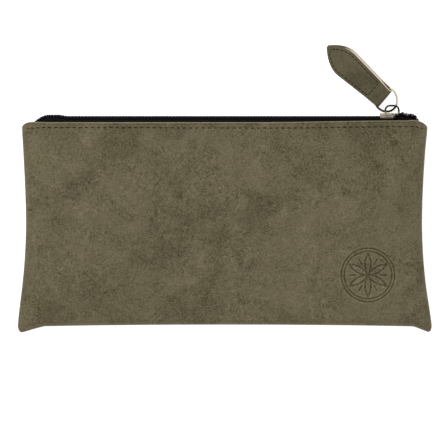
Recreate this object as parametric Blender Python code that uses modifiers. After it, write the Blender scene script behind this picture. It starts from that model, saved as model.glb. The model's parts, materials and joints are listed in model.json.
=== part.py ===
"""A zipped pen case of soft leather, lying flat on its back panel.

The origin is the middle of the case on the face it rests on. +X runs along the zip, +Y points from
the bottom seam to the zip, and +Z up through the front panel. All lengths are metres.
"""

import math

import bmesh
import bpy
from mathutils import Euler, Vector

# Outline of the case, seen from the front
MOUTH_Y = 0.0515
CASE_HEIGHT = 0.1026
WAIST_HEIGHT = 0.0526
WAIST_HALF_WIDTH = 0.1002
TOP_FLARE = 0.0026
TOP_FLARE_POWER = 1.6
BOTTOM_FLARE = 0.0050
SIDE_LEAN = 0.00045
SIDE_LEAN_POWER = 4
BOTTOM_BOW = 0.0011
LEFT_EAR_LENGTH = 0.0140
RIGHT_EAR_LENGTH = 0.0100
EAR_DROP = 0.0037
EAR_FADE_HEIGHT = 0.0120
EAR_RADIUS = 0.0030
MOUTH_CORNER_WIDTH = 0.0055
MOUTH_CORNER_HEIGHT = 0.0030
MOUTH_RISE = 0.0009
MOUTH_RISE_START_SHARE, MOUTH_RISE_RUN_SHARE = 0.15, 0.73
MOUTH_FALL = 0.0012
MOUTH_FALL_RUN = 0.0080
BOW_POWER = 2.2
EAR_POWER = 1.1
CORNER_POWER = 4

# Leather, lining and the thickness of the case
LEATHER = 0.0012
HEM = 0.0016
HEM_DEPTH = 0.0094
LINING = 0.00045
CLEARANCE = 0.0003
FRONT_HEIGHT = 0.0120
MOUTH_HEIGHT = 0.0114
SEAM_Z = 0.00305
SEAM_RIM = 0.0004
ROLL_WIDTH = 0.0024
ROLL_HEIGHT = 0.00295
MOUTH_ROLL_WIDTH = 0.0009
MOUTH_ROLL_HEIGHT = 0.0006
SEAM_ALLOWANCE = 0.0070
MOUTH_ALLOWANCE = 0.0022
ALLOWANCE_FADE = 0.0150
ALLOWANCE_WALL = 0.0006
MOUTH_SLOPE_WIDTH = 0.0120
BOTTOM_SLOPE_WIDTH = 0.0260
PANEL_STEP_X = 0.0200
PANEL_STEP_Y = 0.0150
ROLL_SHARES = (0.0, 0.15, 0.5, 1.0)
SLOPE_SHARES = (0.25, 0.55, 1.0)
MOUTH_ROLL_SHARES = (0.8, 0.3, 0.0)

# Threads of the mouth, the seams and the pull tab
THREAD_RADIUS = 0.0002
STITCH_INSET = 0.0029
STITCH_END_INSET = 0.0018
THREAD_SINK = 0.00025
GROOVE_HALF_WIDTH = 0.0010
GROOVE_DEPTH = 0.0008
SEAM_THREAD_INSET = 0.0050
SEAM_GROOVE_HALF_WIDTH = 0.0008
SEAM_GROOVE_DEPTH = 0.0005

# Lining
LINING_INSET = 0.0080
LINING_RIM_WIDTH = 0.0030
LINING_TOP_INSET = 0.0115
LINING_SHARES = (0.5, 1.0)

# Zip
TAPE = 0.0005
TAPE_Y = 0.0007
TAPE_INNER = 0.00075
TAPE_LEG_OFFSET = 0.00345
TAPE_LEG_DEPTH = 0.0100
TAPE_END_DEPTH = 0.0048
TAPE_SEAM_GAP = 0.00070
TAPE_BEND = 0.0005
TAPE_BEND_SHARES = ((0.0, 1.5), (0.5, 0.25), (2.0, 0.0))
COIL_RADIUS = 0.00085
COIL_GAP = 0.0011
COIL_SEAT = 0.0002
TURNED_COIL_SEAT = 0.0005
ZIP_LEFT_INSET = 0.0074
ZIP_LEFT_RUN = 0.0159
ZIP_LEFT_BUMP = 0.00065
ZIP_RIGHT_INSET = 0.0060
ZIP_RIGHT_RUN = 0.0108
ZIP_RIGHT_BUMP = 0.00093
LEFT_DIVE = 0.0033
RIGHT_DIVE = 0.0028
ZIP_END_STEP = 0.0007
ZIP_STEP = 0.0300
LEFT_RISE_SHARE, LEFT_DIVE_SHARE, LEFT_DIVE_POWER = 0.31, 0.60, 1.7
RIGHT_RISE_SHARE, RIGHT_DIVE_SHARE, RIGHT_DIVE_POWER = 0.32, 0.68, 2.8
TURN_SHARE, TURN_BACK_SHARE, TURN_END_SHARE = 0.30, 0.57, 0.98
TURN = math.radians(70)
TACK_LENGTH = 0.0014
TACK_HEIGHT = 0.0032
TACK_INSET = 0.0036
TACK_DEPTH = 0.0020

# Slider, at rest at the closed end of the zip
SLIDER_FROM_ZIP_END = 0.0131
SLIDER_LENGTH = 0.0106
TOP_PLATE = 0.0012
TOP_PLATE_WIDTH = 0.0084
BOTTOM_PLATE = 0.0009
BOTTOM_PLATE_WIDTH = 0.0056
PLATE_CORNER = 0.0012
PLATE_CLEARANCE = 0.00025
FLANGE = 0.0013
FLANGE_LENGTH = 0.0066
NOSE_HEIGHT = 0.0011
NOSE_WIDTH = 0.0014
POST_WIDTH = 0.0007
POST_LENGTH = 0.0030
POST_FROM_NOSE = 0.0009
OVERRUN = 0.0003

# Bail, the loop on the slider
BAIL_LEFT = -0.0030
BAIL_RIGHT = 0.00465
BAIL_HEIGHT = 0.0043
BAIL_STRIP = 0.0009
BAIL_WIDTH = 0.0014
BAIL_BEND = 0.00265
BEND_STEPS = 4

# Pull ring, a D of brass wire
WIRE_RADIUS = 0.0006
RING_HALF_WIDTH = 0.00715
RING_DEPTH = 0.00825
RING_SHOULDER = 0.00155
RING_CORNER = 0.0007
RING_SQUARENESS = 0.99
RING_POINTS = 22
RING_AZIMUTH = math.radians(49.9)
RING_TILT = math.radians(36.8)
RING_LEAN = math.radians(170.8)
RING_HANG_ANGLE = math.radians(109.6)
HANG_X_SHARE, HANG_Y_SHARE = 0.438, 0.412

# Pull tab, a strip folded round the ring's straight side
TAB_LENGTH = 0.0379
TAB_THICKNESS = 0.0027
TAB_LAYER = 0.0009
TAB_BORE_CLEARANCE = 0.0002
TAB_NECK_LENGTH = 0.0075
TAB_HALF_WIDTH = 0.0084
TAB_FOLD_HALF_WIDTH = 0.0061
TAB_LANCET = 0.0130
TAB_SKEW = 0.043
TAB_STITCH_INSET = 0.0018
TAB_CROSS_STITCH = 0.0062
TAB_GROOVE_RADIUS = 0.00045
TAB_OUTLINE_POINTS = 9
LOOP_OPENING = math.radians(60)
LOOP_STEPS = 12

# Worked out from the sizes above
MERGE_DISTANCE = CLEARANCE / 100
SHARP_ANGLE = math.radians(40)
BOTTOM_Y = MOUTH_Y - CASE_HEIGHT
WAIST_Y = BOTTOM_Y + WAIST_HEIGHT
TOP_HALF_WIDTH = WAIST_HALF_WIDTH + TOP_FLARE
EAR_HALF_WIDTH = WAIST_HALF_WIDTH + BOTTOM_FLARE
MOUTH_RISE_START = TOP_HALF_WIDTH * MOUTH_RISE_START_SHARE
MOUTH_RISE_RUN = TOP_HALF_WIDTH * MOUTH_RISE_RUN_SHARE
ZIP_LEFT = ZIP_LEFT_INSET - TOP_HALF_WIDTH
ZIP_RIGHT = TOP_HALF_WIDTH - ZIP_RIGHT_INSET
SLIDER_X = ZIP_RIGHT - SLIDER_FROM_ZIP_END
ZIP_Z = MOUTH_HEIGHT / 2
COIL_Y = TAPE_Y + TAPE / 2 + COIL_SEAT + COIL_RADIUS
COIL_OFFSET = COIL_GAP / 2 + COIL_RADIUS
PLATE_Y = COIL_Y + COIL_RADIUS + PLATE_CLEARANCE
PLATE_TOP_Y = PLATE_Y + TOP_PLATE
LOOP_RADIUS = WIRE_RADIUS + TAB_BORE_CLEARANCE + TAB_LAYER

parts = bpy.data.collections.new("pen_case")
cutters = bpy.data.collections.new("cutters")


def start_scene():
    """Empties the scene and adds the two collections."""
    for item in list(bpy.data.objects):
        bpy.data.objects.remove(item, do_unlink=True)
    for collection in (parts, cutters):
        bpy.context.scene.collection.children.link(collection)
    cutters.hide_render = True


def finish_material(name, colour, roughness, metallic=0.0):
    """A Principled material with one colour, roughness and metallic value."""
    material = bpy.data.materials.new(name)
    material.use_nodes = True
    shader = material.node_tree.nodes["Principled BSDF"]
    shader.inputs["Base Color"].default_value = (*colour, 1.0)
    shader.inputs["Roughness"].default_value = roughness
    shader.inputs["Metallic"].default_value = metallic
    return material


def link(name, data, material, collection=parts):
    """A new object with its material, in one of the two collections."""
    item = bpy.data.objects.new(name, data)
    if material:
        data.materials.append(material)
    collection.objects.link(item)
    if collection is cutters:
        item.hide_render = True
        item.display_type = "WIRE"
    return item


def mesh_from(name, shape):
    """Turns a bmesh into mesh data with outward faces and smooth round sides."""
    bmesh.ops.recalc_face_normals(shape, faces=shape.faces[:])
    data = bpy.data.meshes.new(name)
    shape.to_mesh(data)
    shape.free()
    data.shade_smooth()
    data.set_sharp_from_angle(angle=SHARP_ANGLE)
    return data


def boolean(item, other, operation):
    """Joins, cuts or keeps the common part of two solids."""
    modifier = item.modifiers.new(operation.lower(), "BOOLEAN")
    modifier.operation = operation
    modifier.object = other
    modifier.solver = "EXACT"


def mesh_of_curve(item):
    """Replaces a curve object by a closed mesh object of the same name."""
    bpy.context.view_layer.update()
    evaluated = item.evaluated_get(bpy.context.evaluated_depsgraph_get())
    data = bpy.data.meshes.new_from_object(evaluated)
    shape = bmesh.new()
    shape.from_mesh(data)
    bmesh.ops.remove_doubles(shape, verts=shape.verts[:], dist=MERGE_DISTANCE)
    bmesh.ops.recalc_face_normals(shape, faces=shape.faces[:])
    shape.to_mesh(data)
    shape.free()
    name, owner, place = item.name, item.users_collection[0], item.matrix_world.copy()
    bpy.data.objects.remove(item, do_unlink=True)
    solid = link(name, data, None, owner)
    solid.matrix_world = place
    return solid


def smooth_step(value):
    """0 below 0, 1 above 1, and a smooth rise between."""
    t = min(1.0, max(0.0, value))
    return t * t * (3 - 2 * t)


def dome(value):
    """0 at 0, 1 from 1 on, steep at first and level at the end."""
    t = 1 - min(1.0, max(0.0, value))
    return 1 - t * t


def quarter_round(value):
    """The quarter circle that rises from 0 at 0 to 1 at 1."""
    t = 1 - min(1.0, max(0.0, value))
    return math.sqrt(max(0.0, 1 - t * t))


def evenly(start, end, step):
    """Places between two ends, both left out, about one step apart."""
    count = max(1, round((end - start) / step))
    return [start + (end - start) * i / count for i in range(1, count)]


# Shape of the panels


def half_width(y):
    """Half the width of the case at a height: a waist with a flare above and below it."""
    if y > WAIST_Y:
        share = (y - WAIST_Y) / (MOUTH_Y - WAIST_Y)
        return WAIST_HALF_WIDTH + TOP_FLARE * share**TOP_FLARE_POWER
    share = (WAIST_Y - y) / WAIST_HEIGHT
    return WAIST_HALF_WIDTH + BOTTOM_FLARE * share**2


def side_lean(y):
    """How far the case lies to the left at a height: most in the middle, nothing at both ends."""
    from_middle = abs(2 * height_share(y) - 1)
    return SIDE_LEAN * (1 - from_middle**SIDE_LEAN_POWER)


def round_corner(from_side, from_end, width, height):
    """Bends the square corner of the plan onto a rounded one."""
    if from_side >= width or from_end >= height:
        return from_side, from_end
    s, t = 1 - from_side / width, 1 - from_end / height
    rounded_s = s * math.sqrt(1 - t * t / 2)
    rounded_t = t * math.sqrt(1 - s * s / 2)
    return width * (1 - rounded_s), height * (1 - rounded_t)


def mouth_rise(x):
    """How far the mouth edge rises above its straight line toward the right, before its corner."""
    rise = smooth_step((x - MOUTH_RISE_START) / MOUTH_RISE_RUN)
    fall = smooth_step((x - TOP_HALF_WIDTH + MOUTH_FALL_RUN) / MOUTH_FALL_RUN)
    return MOUTH_RISE * rise - MOUTH_FALL * fall


def plan_point(x, y):
    """A place on the plain rectangle, moved to its place on the real outline."""
    side = math.copysign(1, x)
    from_side = WAIST_HALF_WIDTH - abs(x)
    from_side, above = round_corner(from_side, y - BOTTOM_Y, EAR_RADIUS, EAR_RADIUS)
    from_side, below = round_corner(from_side, MOUTH_Y - y, MOUTH_CORNER_WIDTH, MOUTH_CORNER_HEIGHT)
    y = MOUTH_Y - below if y > WAIST_Y else BOTTOM_Y + above
    reach = half_width(y)
    real_x = reach - from_side
    low = max(0.0, 1 - above / EAR_FADE_HEIGHT) ** 2
    bow = BOTTOM_BOW * max(0.0, real_x / EAR_HALF_WIDTH) ** BOW_POWER
    ear_length = LEFT_EAR_LENGTH if side < 0 else RIGHT_EAR_LENGTH
    ear = max(0.0, 1 - (EAR_HALF_WIDTH - real_x) / ear_length) ** EAR_POWER
    high = smooth_step((y - WAIST_Y) / (MOUTH_Y - WAIST_Y))
    real_y = y + mouth_rise(side * real_x) * high - (bow + EAR_DROP * ear) * low
    return side * real_x - side_lean(y), real_y


def border_inset(x, y):
    """Distance from the sewn border, which runs down one side, along the bottom and up the other."""
    return min(WAIST_HALF_WIDTH - abs(x), y - BOTTOM_Y)


def seam_inset(x, y):
    """The same distance with its corners rounded, for the swell of the panels."""
    from_side = WAIST_HALF_WIDTH - abs(x)
    from_bottom = y - BOTTOM_Y
    if min(from_side, from_bottom) <= MERGE_DISTANCE:
        return 0.0
    return (from_side**-CORNER_POWER + from_bottom**-CORNER_POWER) ** (-1 / CORNER_POWER)


def height_share(y):
    """0 at the bottom seam and 1 at the mouth."""
    return (y - BOTTOM_Y) / CASE_HEIGHT


def mouth_dip(x, y):
    """How far the mouth's rolled edge and its stitch groove lie under the panel's face."""
    inset = MOUTH_Y - y
    roll = MOUTH_ROLL_HEIGHT * (1 - quarter_round(inset / MOUTH_ROLL_WIDTH))
    groove = max(0.0, 1 - abs(inset - STITCH_INSET) / GROOVE_HALF_WIDTH)
    return (roll + GROOVE_DEPTH * groove) * smooth_step(seam_inset(x, y) / ROLL_WIDTH)


def front_face(x, y):
    """Height of the front panel's face, without its mouth edge and stitch groove."""
    inset = seam_inset(x, y)
    share = height_share(y)
    slope_width = BOTTOM_SLOPE_WIDTH + (MOUTH_SLOPE_WIDTH - BOTTOM_SLOPE_WIDTH) * share**2
    crown = FRONT_HEIGHT + (MOUTH_HEIGHT - FRONT_HEIGHT) * smooth_step(2 * share - 1)
    edge = SEAM_RIM + (ROLL_HEIGHT - SEAM_RIM) * quarter_round(inset / ROLL_WIDTH)
    rise = dome((inset - ROLL_WIDTH) / (slope_width - ROLL_WIDTH))
    return SEAM_Z + edge + (crown - SEAM_Z - ROLL_HEIGHT) * rise


def back_face(x, y):
    """Height of the back panel's face, which is flat away from its rolled edges."""
    edge = SEAM_RIM + (SEAM_Z - SEAM_RIM) * quarter_round(seam_inset(x, y) / ROLL_WIDTH)
    return SEAM_Z - edge


def wall(y):
    """Thickness of a panel: one leather layer, or the leather and its hem at the mouth."""
    return HEM if MOUTH_Y - y < HEM_DEPTH else LEATHER


def inside_share(x, y):
    """0 over the turned seam allowance and 1 over the hollow."""
    near_mouth = 1 - smooth_step((MOUTH_Y - y) / ALLOWANCE_FADE)
    allowance = SEAM_ALLOWANCE + (MOUTH_ALLOWANCE - SEAM_ALLOWANCE) * near_mouth
    return smooth_step((border_inset(x, y) - allowance) / ALLOWANCE_WALL)


def seam_side(x, y):
    """Distance of an allowance from the seam plane, with the groove of the seam thread."""
    off = abs(border_inset(x, y) - SEAM_THREAD_INSET)
    groove = max(0.0, 1 - off / SEAM_GROOVE_HALF_WIDTH)
    return CLEARANCE / 2 + SEAM_GROOVE_DEPTH * groove


def front_inner(x, y):
    """Height of the front panel's inner side."""
    hollow = front_face(x, y) - wall(y)
    sewn = SEAM_Z + seam_side(x, y)
    return sewn + (hollow - sewn) * inside_share(x, y)


def back_inner(x, y):
    """Height of the back panel's inner side."""
    hollow = back_face(x, y) + wall(y)
    sewn = SEAM_Z - seam_side(x, y)
    return sewn + (hollow - sewn) * inside_share(x, y)


def height_field(name, columns, rows, lower, upper, material):
    """A closed solid between two heights, over a grid of plan places."""
    shape = bmesh.new()
    last_x, last_y = len(columns) - 1, len(rows) - 1
    bmesh.ops.create_grid(shape, x_segments=last_x, y_segments=last_y, size=1)
    under = shape.verts[:]
    made = bmesh.ops.extrude_face_region(shape, geom=shape.faces[:], use_keep_orig=True)
    over = [item for item in made["geom"] if isinstance(item, bmesh.types.BMVert)]
    for verts, surface in ((under, lower), (over, upper)):
        for vert in verts:
            x = columns[round((vert.co.x + 1) / 2 * last_x)]
            y = rows[round((vert.co.y + 1) / 2 * last_y)]
            vert.co = (*plan_point(x, y), surface(x, y))
    return link(name, mesh_from(name, shape), material)


def panel_insets():
    """Grid places near a sewn edge: the roll, the seam thread's groove and the allowance's end."""
    groove = SEAM_GROOVE_HALF_WIDTH
    roll = [ROLL_WIDTH * share for share in ROLL_SHARES]
    seam = [SEAM_THREAD_INSET - groove, SEAM_THREAD_INSET, SEAM_THREAD_INSET + groove]
    allowance = [SEAM_ALLOWANCE, SEAM_ALLOWANCE + ALLOWANCE_WALL]
    slope = BOTTOM_SLOPE_WIDTH - SEAM_ALLOWANCE
    return roll + seam + allowance + [SEAM_ALLOWANCE + slope * share for share in SLOPE_SHARES]


def both_sides(insets, step):
    """Columns from the left edge to the right one, the same on both sides."""
    left = [inset - WAIST_HALF_WIDTH for inset in insets]
    return left + evenly(left[-1], -left[-1], step) + [-x for x in reversed(left)]


def panel_rows():
    """Rows from the bottom seam to the mouth."""
    low = [BOTTOM_Y + inset for inset in panel_insets()]
    hem = MOUTH_Y - HEM_DEPTH
    stitch = MOUTH_Y - STITCH_INSET
    high = [hem - ALLOWANCE_WALL, hem + ALLOWANCE_WALL]
    high += [stitch - GROOVE_HALF_WIDTH, stitch, stitch + GROOVE_HALF_WIDTH]
    high += [MOUTH_Y - MOUTH_ROLL_WIDTH * share for share in MOUTH_ROLL_SHARES]
    return low + evenly(low[-1], high[0], PANEL_STEP_Y) + high


def build_panels(leather):
    """Front and back panel, each with its rolled edges, allowance, hem and stitch groove."""
    columns = both_sides(panel_insets(), PANEL_STEP_X)
    rows = panel_rows()
    height_field(
        "front_panel", columns, rows, front_inner,
        lambda x, y: front_face(x, y) - mouth_dip(x, y), leather,
    )
    height_field(
        "back_panel", columns, rows,
        lambda x, y: back_face(x, y) + mouth_dip(x, y), back_inner, leather,
    )


def lining_share(x, y):
    """0 at the lining's sewn rim and 1 where it follows the panel."""
    return smooth_step((border_inset(x, y) - LINING_INSET) / LINING_RIM_WIDTH)


def front_lining_top(x, y):
    """Upper side of the front lining, which hangs just under the front panel."""
    rim = SEAM_Z + CLEARANCE / 2 + LINING
    return rim + (front_inner(x, y) - CLEARANCE - rim) * lining_share(x, y)


def back_lining_top(x, y):
    """Upper side of the back lining, which lies just over the back panel."""
    rim = SEAM_Z - CLEARANCE / 2
    return rim + (back_inner(x, y) + CLEARANCE + LINING - rim) * lining_share(x, y)


def build_linings(cloth):
    """Front and back lining, two shallow dishes rim to rim."""
    slope = BOTTOM_SLOPE_WIDTH - LINING_INSET
    insets = [LINING_INSET, LINING_INSET + LINING_RIM_WIDTH / 2, LINING_INSET + LINING_RIM_WIDTH]
    insets += [LINING_INSET + slope * share for share in LINING_SHARES]
    columns = both_sides(insets, PANEL_STEP_X)
    low = [BOTTOM_Y + inset for inset in insets]
    top = MOUTH_Y - LINING_TOP_INSET
    rows = low + evenly(low[-1], top, PANEL_STEP_Y) + [top]
    for name, upper in (("front_lining", front_lining_top), ("back_lining", back_lining_top)):
        height_field(name, columns, rows, lambda x, y, top=upper: top(x, y) - LINING, upper, cloth)


# Threads


def strand(name, points, material, radius=THREAD_RADIUS, cyclic=False, collection=parts):
    """A thin round strand through points."""
    data = bpy.data.curves.new(name, "CURVE")
    data.dimensions = "3D"
    data.bevel_depth = radius
    data.bevel_resolution = 1
    data.use_fill_caps = True
    spline = data.splines.new("POLY")
    spline.points.add(len(points) - 1)
    for slot, point in zip(spline.points, points):
        slot.co = (*point, 1.0)
    spline.use_cyclic_u = cyclic
    return link(name, data, material, collection)


def build_topstitches(thread):
    """The two stitch lines along the mouth, each sunk in its panel's groove."""
    end_x = WAIST_HALF_WIDTH - STITCH_END_INSET
    columns = [x for x in both_sides(panel_insets(), PANEL_STEP_X) if abs(x) < end_x]
    y = MOUTH_Y - STITCH_INSET
    for name, face, side in (("topstitch_front", front_face, -1), ("topstitch_back", back_face, 1)):
        points = [(*plan_point(x, y), face(x, y) + side * THREAD_SINK) for x in columns]
        strand(name, points, thread)


def build_seam_thread(thread):
    """The thread that closes the sides and the bottom, between the two allowances."""
    edge_x = WAIST_HALF_WIDTH - SEAM_THREAD_INSET
    edge_y = BOTTOM_Y + SEAM_THREAD_INSET
    rows = [y for y in panel_rows() if edge_y < y < MOUTH_Y - ALLOWANCE_FADE]
    columns = [x for x in both_sides(panel_insets(), PANEL_STEP_X) if abs(x) < edge_x - CLEARANCE]
    route = [(-edge_x, y) for y in reversed(rows)] + [(-edge_x, edge_y)]
    route += [(x, edge_y) for x in columns] + [(edge_x, edge_y)] + [(edge_x, y) for y in rows]
    strand("seam_thread", [(*plan_point(x, y), SEAM_Z) for x, y in route], thread)


# Zip


def zip_lift(x):
    """How far the zip bulges out of the mouth, or dives into it, at its two ends."""
    left = (ZIP_LEFT + ZIP_LEFT_RUN - x) / ZIP_LEFT_RUN
    right = (x - ZIP_RIGHT + ZIP_RIGHT_RUN) / ZIP_RIGHT_RUN
    if left > 0:
        dive = max(0.0, (left - LEFT_DIVE_SHARE) / (1 - LEFT_DIVE_SHARE)) ** LEFT_DIVE_POWER
        return ZIP_LEFT_BUMP * smooth_step(left / LEFT_RISE_SHARE) - LEFT_DIVE * dive
    if right > 0:
        dive = max(0.0, (right - RIGHT_DIVE_SHARE) / (1 - RIGHT_DIVE_SHARE)) ** RIGHT_DIVE_POWER
        rise = ZIP_RIGHT_BUMP * smooth_step(right / RIGHT_RISE_SHARE)
        return rise - (RIGHT_DIVE + ZIP_RIGHT_BUMP) * dive
    return 0.0


def leg_depth(x):
    """How far the tapes reach into the case: less at the two ends, where the seam begins."""
    left = (ZIP_LEFT + ZIP_LEFT_RUN - x) / ZIP_LEFT_RUN
    right = (x - ZIP_RIGHT + ZIP_RIGHT_RUN) / ZIP_RIGHT_RUN
    return TAPE_LEG_DEPTH + (TAPE_END_DEPTH - TAPE_LEG_DEPTH) * smooth_step(max(left, right))


def mouth_room(x, depth):
    """Middle height and half the height of the space between the panels, at a depth in the mouth."""
    y = MOUTH_Y - mouth_rise(x) - depth - CLEARANCE
    from_axis = abs(x + side_lean(y))
    nominal_x = math.copysign(WAIST_HALF_WIDTH - half_width(y) + from_axis, x)
    low, high = back_inner(nominal_x, y), front_inner(nominal_x, y)
    return (low + high) / 2, (high - low) / 2


def zip_middle(x):
    """Height of the zip's middle line: level along the travel, lower at the two ends."""
    return min(ZIP_Z, mouth_room(x, leg_depth(x))[0])


def zip_stations():
    """Places along the zip: few on the straight, close together at the ends."""
    left, right = ZIP_LEFT + ZIP_LEFT_RUN, ZIP_RIGHT - ZIP_RIGHT_RUN
    left_end = [ZIP_LEFT] + evenly(ZIP_LEFT, left, ZIP_END_STEP) + [left]
    right_end = [right] + evenly(right, ZIP_RIGHT, ZIP_END_STEP) + [ZIP_RIGHT]
    return left_end + evenly(left, right, ZIP_STEP) + right_end


def tape_leg(x):
    """Distance of a tape's inside leg from the zip's middle, less where the mouth narrows."""
    room = mouth_room(x + math.copysign(CLEARANCE, x), leg_depth(x))[1]
    return min(TAPE_LEG_OFFSET, room - TAPE_SEAM_GAP - TAPE / 2)


def zip_turn(x):
    """Angle by which a tape's coil edge is turned up and outward, beside the slider's nose."""
    right = (x - ZIP_RIGHT + ZIP_RIGHT_RUN) / ZIP_RIGHT_RUN
    back = smooth_step((right - TURN_BACK_SHARE) / (TURN_END_SHARE - TURN_BACK_SHARE))
    return TURN * smooth_step(right / TURN_SHARE) * (1 - back)


def head_point(x, reach):
    """Height and offset of a place on the tape, at a distance from its bend toward the coil edge."""
    turn = zip_turn(x)
    bend_y = MOUTH_Y + TAPE_Y + zip_lift(x)
    return bend_y + reach * math.sin(turn), tape_leg(x) - reach * math.cos(turn)


def tape_section(x, side):
    """The tape's middle line at one place: its head with the coil, then bent down into the case."""
    middle, leg = zip_middle(x), tape_leg(x)
    section = [head_point(x, leg - TAPE_INNER)]
    for down, back in TAPE_BEND_SHARES:
        y, offset = head_point(x, TAPE_BEND * back)
        section.append((y - TAPE_BEND * down, offset))
    section.append((MOUTH_Y - leg_depth(x), leg))
    return [(x, y, middle + side * offset) for y, offset in section]


def build_tape(name, side, cloth):
    """One zip tape, a thin band along the mouth."""
    stations = zip_stations()
    across = len(tape_section(0, side)) - 1
    shape = bmesh.new()
    bmesh.ops.create_grid(shape, x_segments=len(stations) - 1, y_segments=across, size=1)
    for vert in shape.verts:
        x = stations[round((vert.co.x + 1) / 2 * (len(stations) - 1))]
        vert.co = tape_section(x, side)[round((vert.co.y + 1) / 2 * across)]
    tape = link(name, mesh_from(name, shape), cloth)
    thickness = tape.modifiers.new("thickness", "SOLIDIFY")
    thickness.thickness = TAPE
    thickness.offset = 0
    thickness.use_even_offset = True


def coil_foot(x):
    """Height and offset of the place on the tape that carries the coil."""
    return head_point(x, tape_leg(x) - COIL_OFFSET)


def coil_point(x, side):
    """Middle of one coil half, square over its tape and inside the narrowing mouth at the ends."""
    turn = zip_turn(x)
    y, offset = coil_foot(x)
    behind, ahead = coil_foot(x - CLEARANCE), coil_foot(x + CLEARANCE)
    climb = (ahead[0] - behind[0]) * math.cos(turn) + (ahead[1] - behind[1]) * math.sin(turn)
    slope = math.atan2(climb, 2 * CLEARANCE)
    over_tape = COIL_Y - TAPE_Y + (TURNED_COIL_SEAT - COIL_SEAT) * math.sin(turn)
    lifted = over_tape * math.cos(slope)
    coil_x = x - over_tape * math.sin(slope)
    y += lifted * math.cos(turn)
    offset += lifted * math.sin(turn)
    depth = max(0.0, MOUTH_Y + COIL_RADIUS - y)
    inside = smooth_step(depth / COIL_RADIUS)
    middle, room = mouth_room(coil_x + math.copysign(COIL_RADIUS, coil_x), depth)
    offset += (min(offset, room - CLEARANCE - COIL_RADIUS) - offset) * inside
    middle = zip_middle(coil_x) + (middle - zip_middle(coil_x)) * inside
    return coil_x, y, middle + side * offset


def build_zip(cloth, coil):
    """Two tapes, their coils, which stop a little short of the right end, and the end tacks."""
    for word, side in (("front", 1), ("back", -1)):
        build_tape(f"zip_tape_{word}", side, cloth)
        points = [coil_point(x, side) for x in zip_stations()[:-1]]
        strand(f"zip_coil_{word}", points, coil, COIL_RADIUS).data.bevel_resolution = 2
    for word, x in (("left", ZIP_LEFT + TACK_INSET), ("right", ZIP_RIGHT - TACK_INSET)):
        ends = (x - TACK_LENGTH / 2, x + TACK_LENGTH / 2)
        room = [tape_leg(end) - TAPE / 2 - CLEARANCE for end in ends]
        low = max(zip_middle(end) - half for end, half in zip(ends, room))
        high = min(zip_middle(end) + half for end, half in zip(ends, room))
        centre = (x, MOUTH_Y - TACK_DEPTH - TACK_HEIGHT / 2, (low + high) / 2)
        block(f"zip_tack_{word}", (TACK_LENGTH, TACK_HEIGHT, high - low), centre, cloth)


def block(name, size, centre, material, collection=parts, corner=0.0):
    """A box, with its edges along Y rounded where a corner is given."""
    shape = bmesh.new()
    bmesh.ops.create_cube(shape, size=1)
    bmesh.ops.scale(shape, vec=size, verts=shape.verts[:])
    if corner:
        upright = [e for e in shape.edges if e.verts[0].co.y * e.verts[1].co.y < 0]
        bmesh.ops.bevel(shape, geom=upright, offset=corner, segments=3, affect="EDGES", profile=0.5)
    item = link(name, mesh_from(name, shape), material, collection)
    item.location = centre
    return item


# Slider, with its own origin on the zip's middle line at the mouth edge


def slider_blocks():
    """Size and middle of each block that the casting joins to its top plate."""
    tape_under = TAPE_Y - TAPE / 2
    bottom_y = tape_under - PLATE_CLEARANCE - BOTTOM_PLATE / 2
    flange_low = TAPE_Y + TAPE / 2 + CLEARANCE
    flange_height = PLATE_Y + OVERRUN - flange_low
    flange_z = COIL_OFFSET + COIL_RADIUS + PLATE_CLEARANCE + FLANGE / 2
    flange_x = (FLANGE_LENGTH - SLIDER_LENGTH) / 2
    flange_size = (FLANGE_LENGTH, flange_height, FLANGE)
    post_height = PLATE_Y - bottom_y + OVERRUN
    post_x = SLIDER_LENGTH / 2 - POST_FROM_NOSE - POST_LENGTH / 2
    nose_length = SLIDER_LENGTH - FLANGE_LENGTH + OVERRUN
    nose_x = (SLIDER_LENGTH - nose_length) / 2
    return {
        "nose": ((nose_length, NOSE_HEIGHT, NOSE_WIDTH), (nose_x, PLATE_Y + NOSE_HEIGHT / 2, 0)),
        "bottom_plate": ((SLIDER_LENGTH, BOTTOM_PLATE, BOTTOM_PLATE_WIDTH), (0, bottom_y, 0)),
        "front_flange": (flange_size, (flange_x, flange_low + flange_height / 2, flange_z)),
        "back_flange": (flange_size, (flange_x, flange_low + flange_height / 2, -flange_z)),
        "post": ((POST_LENGTH, post_height, POST_WIDTH), (post_x, bottom_y + post_height / 2, 0)),
    }


def arch(left, right, foot, top, bend):
    """Outline of an upside-down U with round shoulders, from its left foot to its right foot."""
    points = [(left, foot)]
    for centre_x, start in ((left + bend, math.pi), (right - bend, math.pi / 2)):
        for step in range(BEND_STEPS + 1):
            angle = start - math.pi / 2 * step / BEND_STEPS
            points.append((centre_x + bend * math.cos(angle), top - bend + bend * math.sin(angle)))
    return points + [(right, foot)]


def flat_outline(name, outlines, thickness, material, collection):
    """A flat solid from closed outlines in its own XY plane, one inside another for a hole."""
    data = bpy.data.curves.new(name, "CURVE")
    data.dimensions = "2D"
    data.fill_mode = "BOTH"
    data.extrude = thickness / 2
    for outline in outlines:
        spline = data.splines.new("POLY")
        spline.points.add(len(outline) - 1)
        for slot, (x, y) in zip(spline.points, outline):
            slot.co = (x, y, 0, 1)
        spline.use_cyclic_u = True
    return link(name, data, material, collection)


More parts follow.
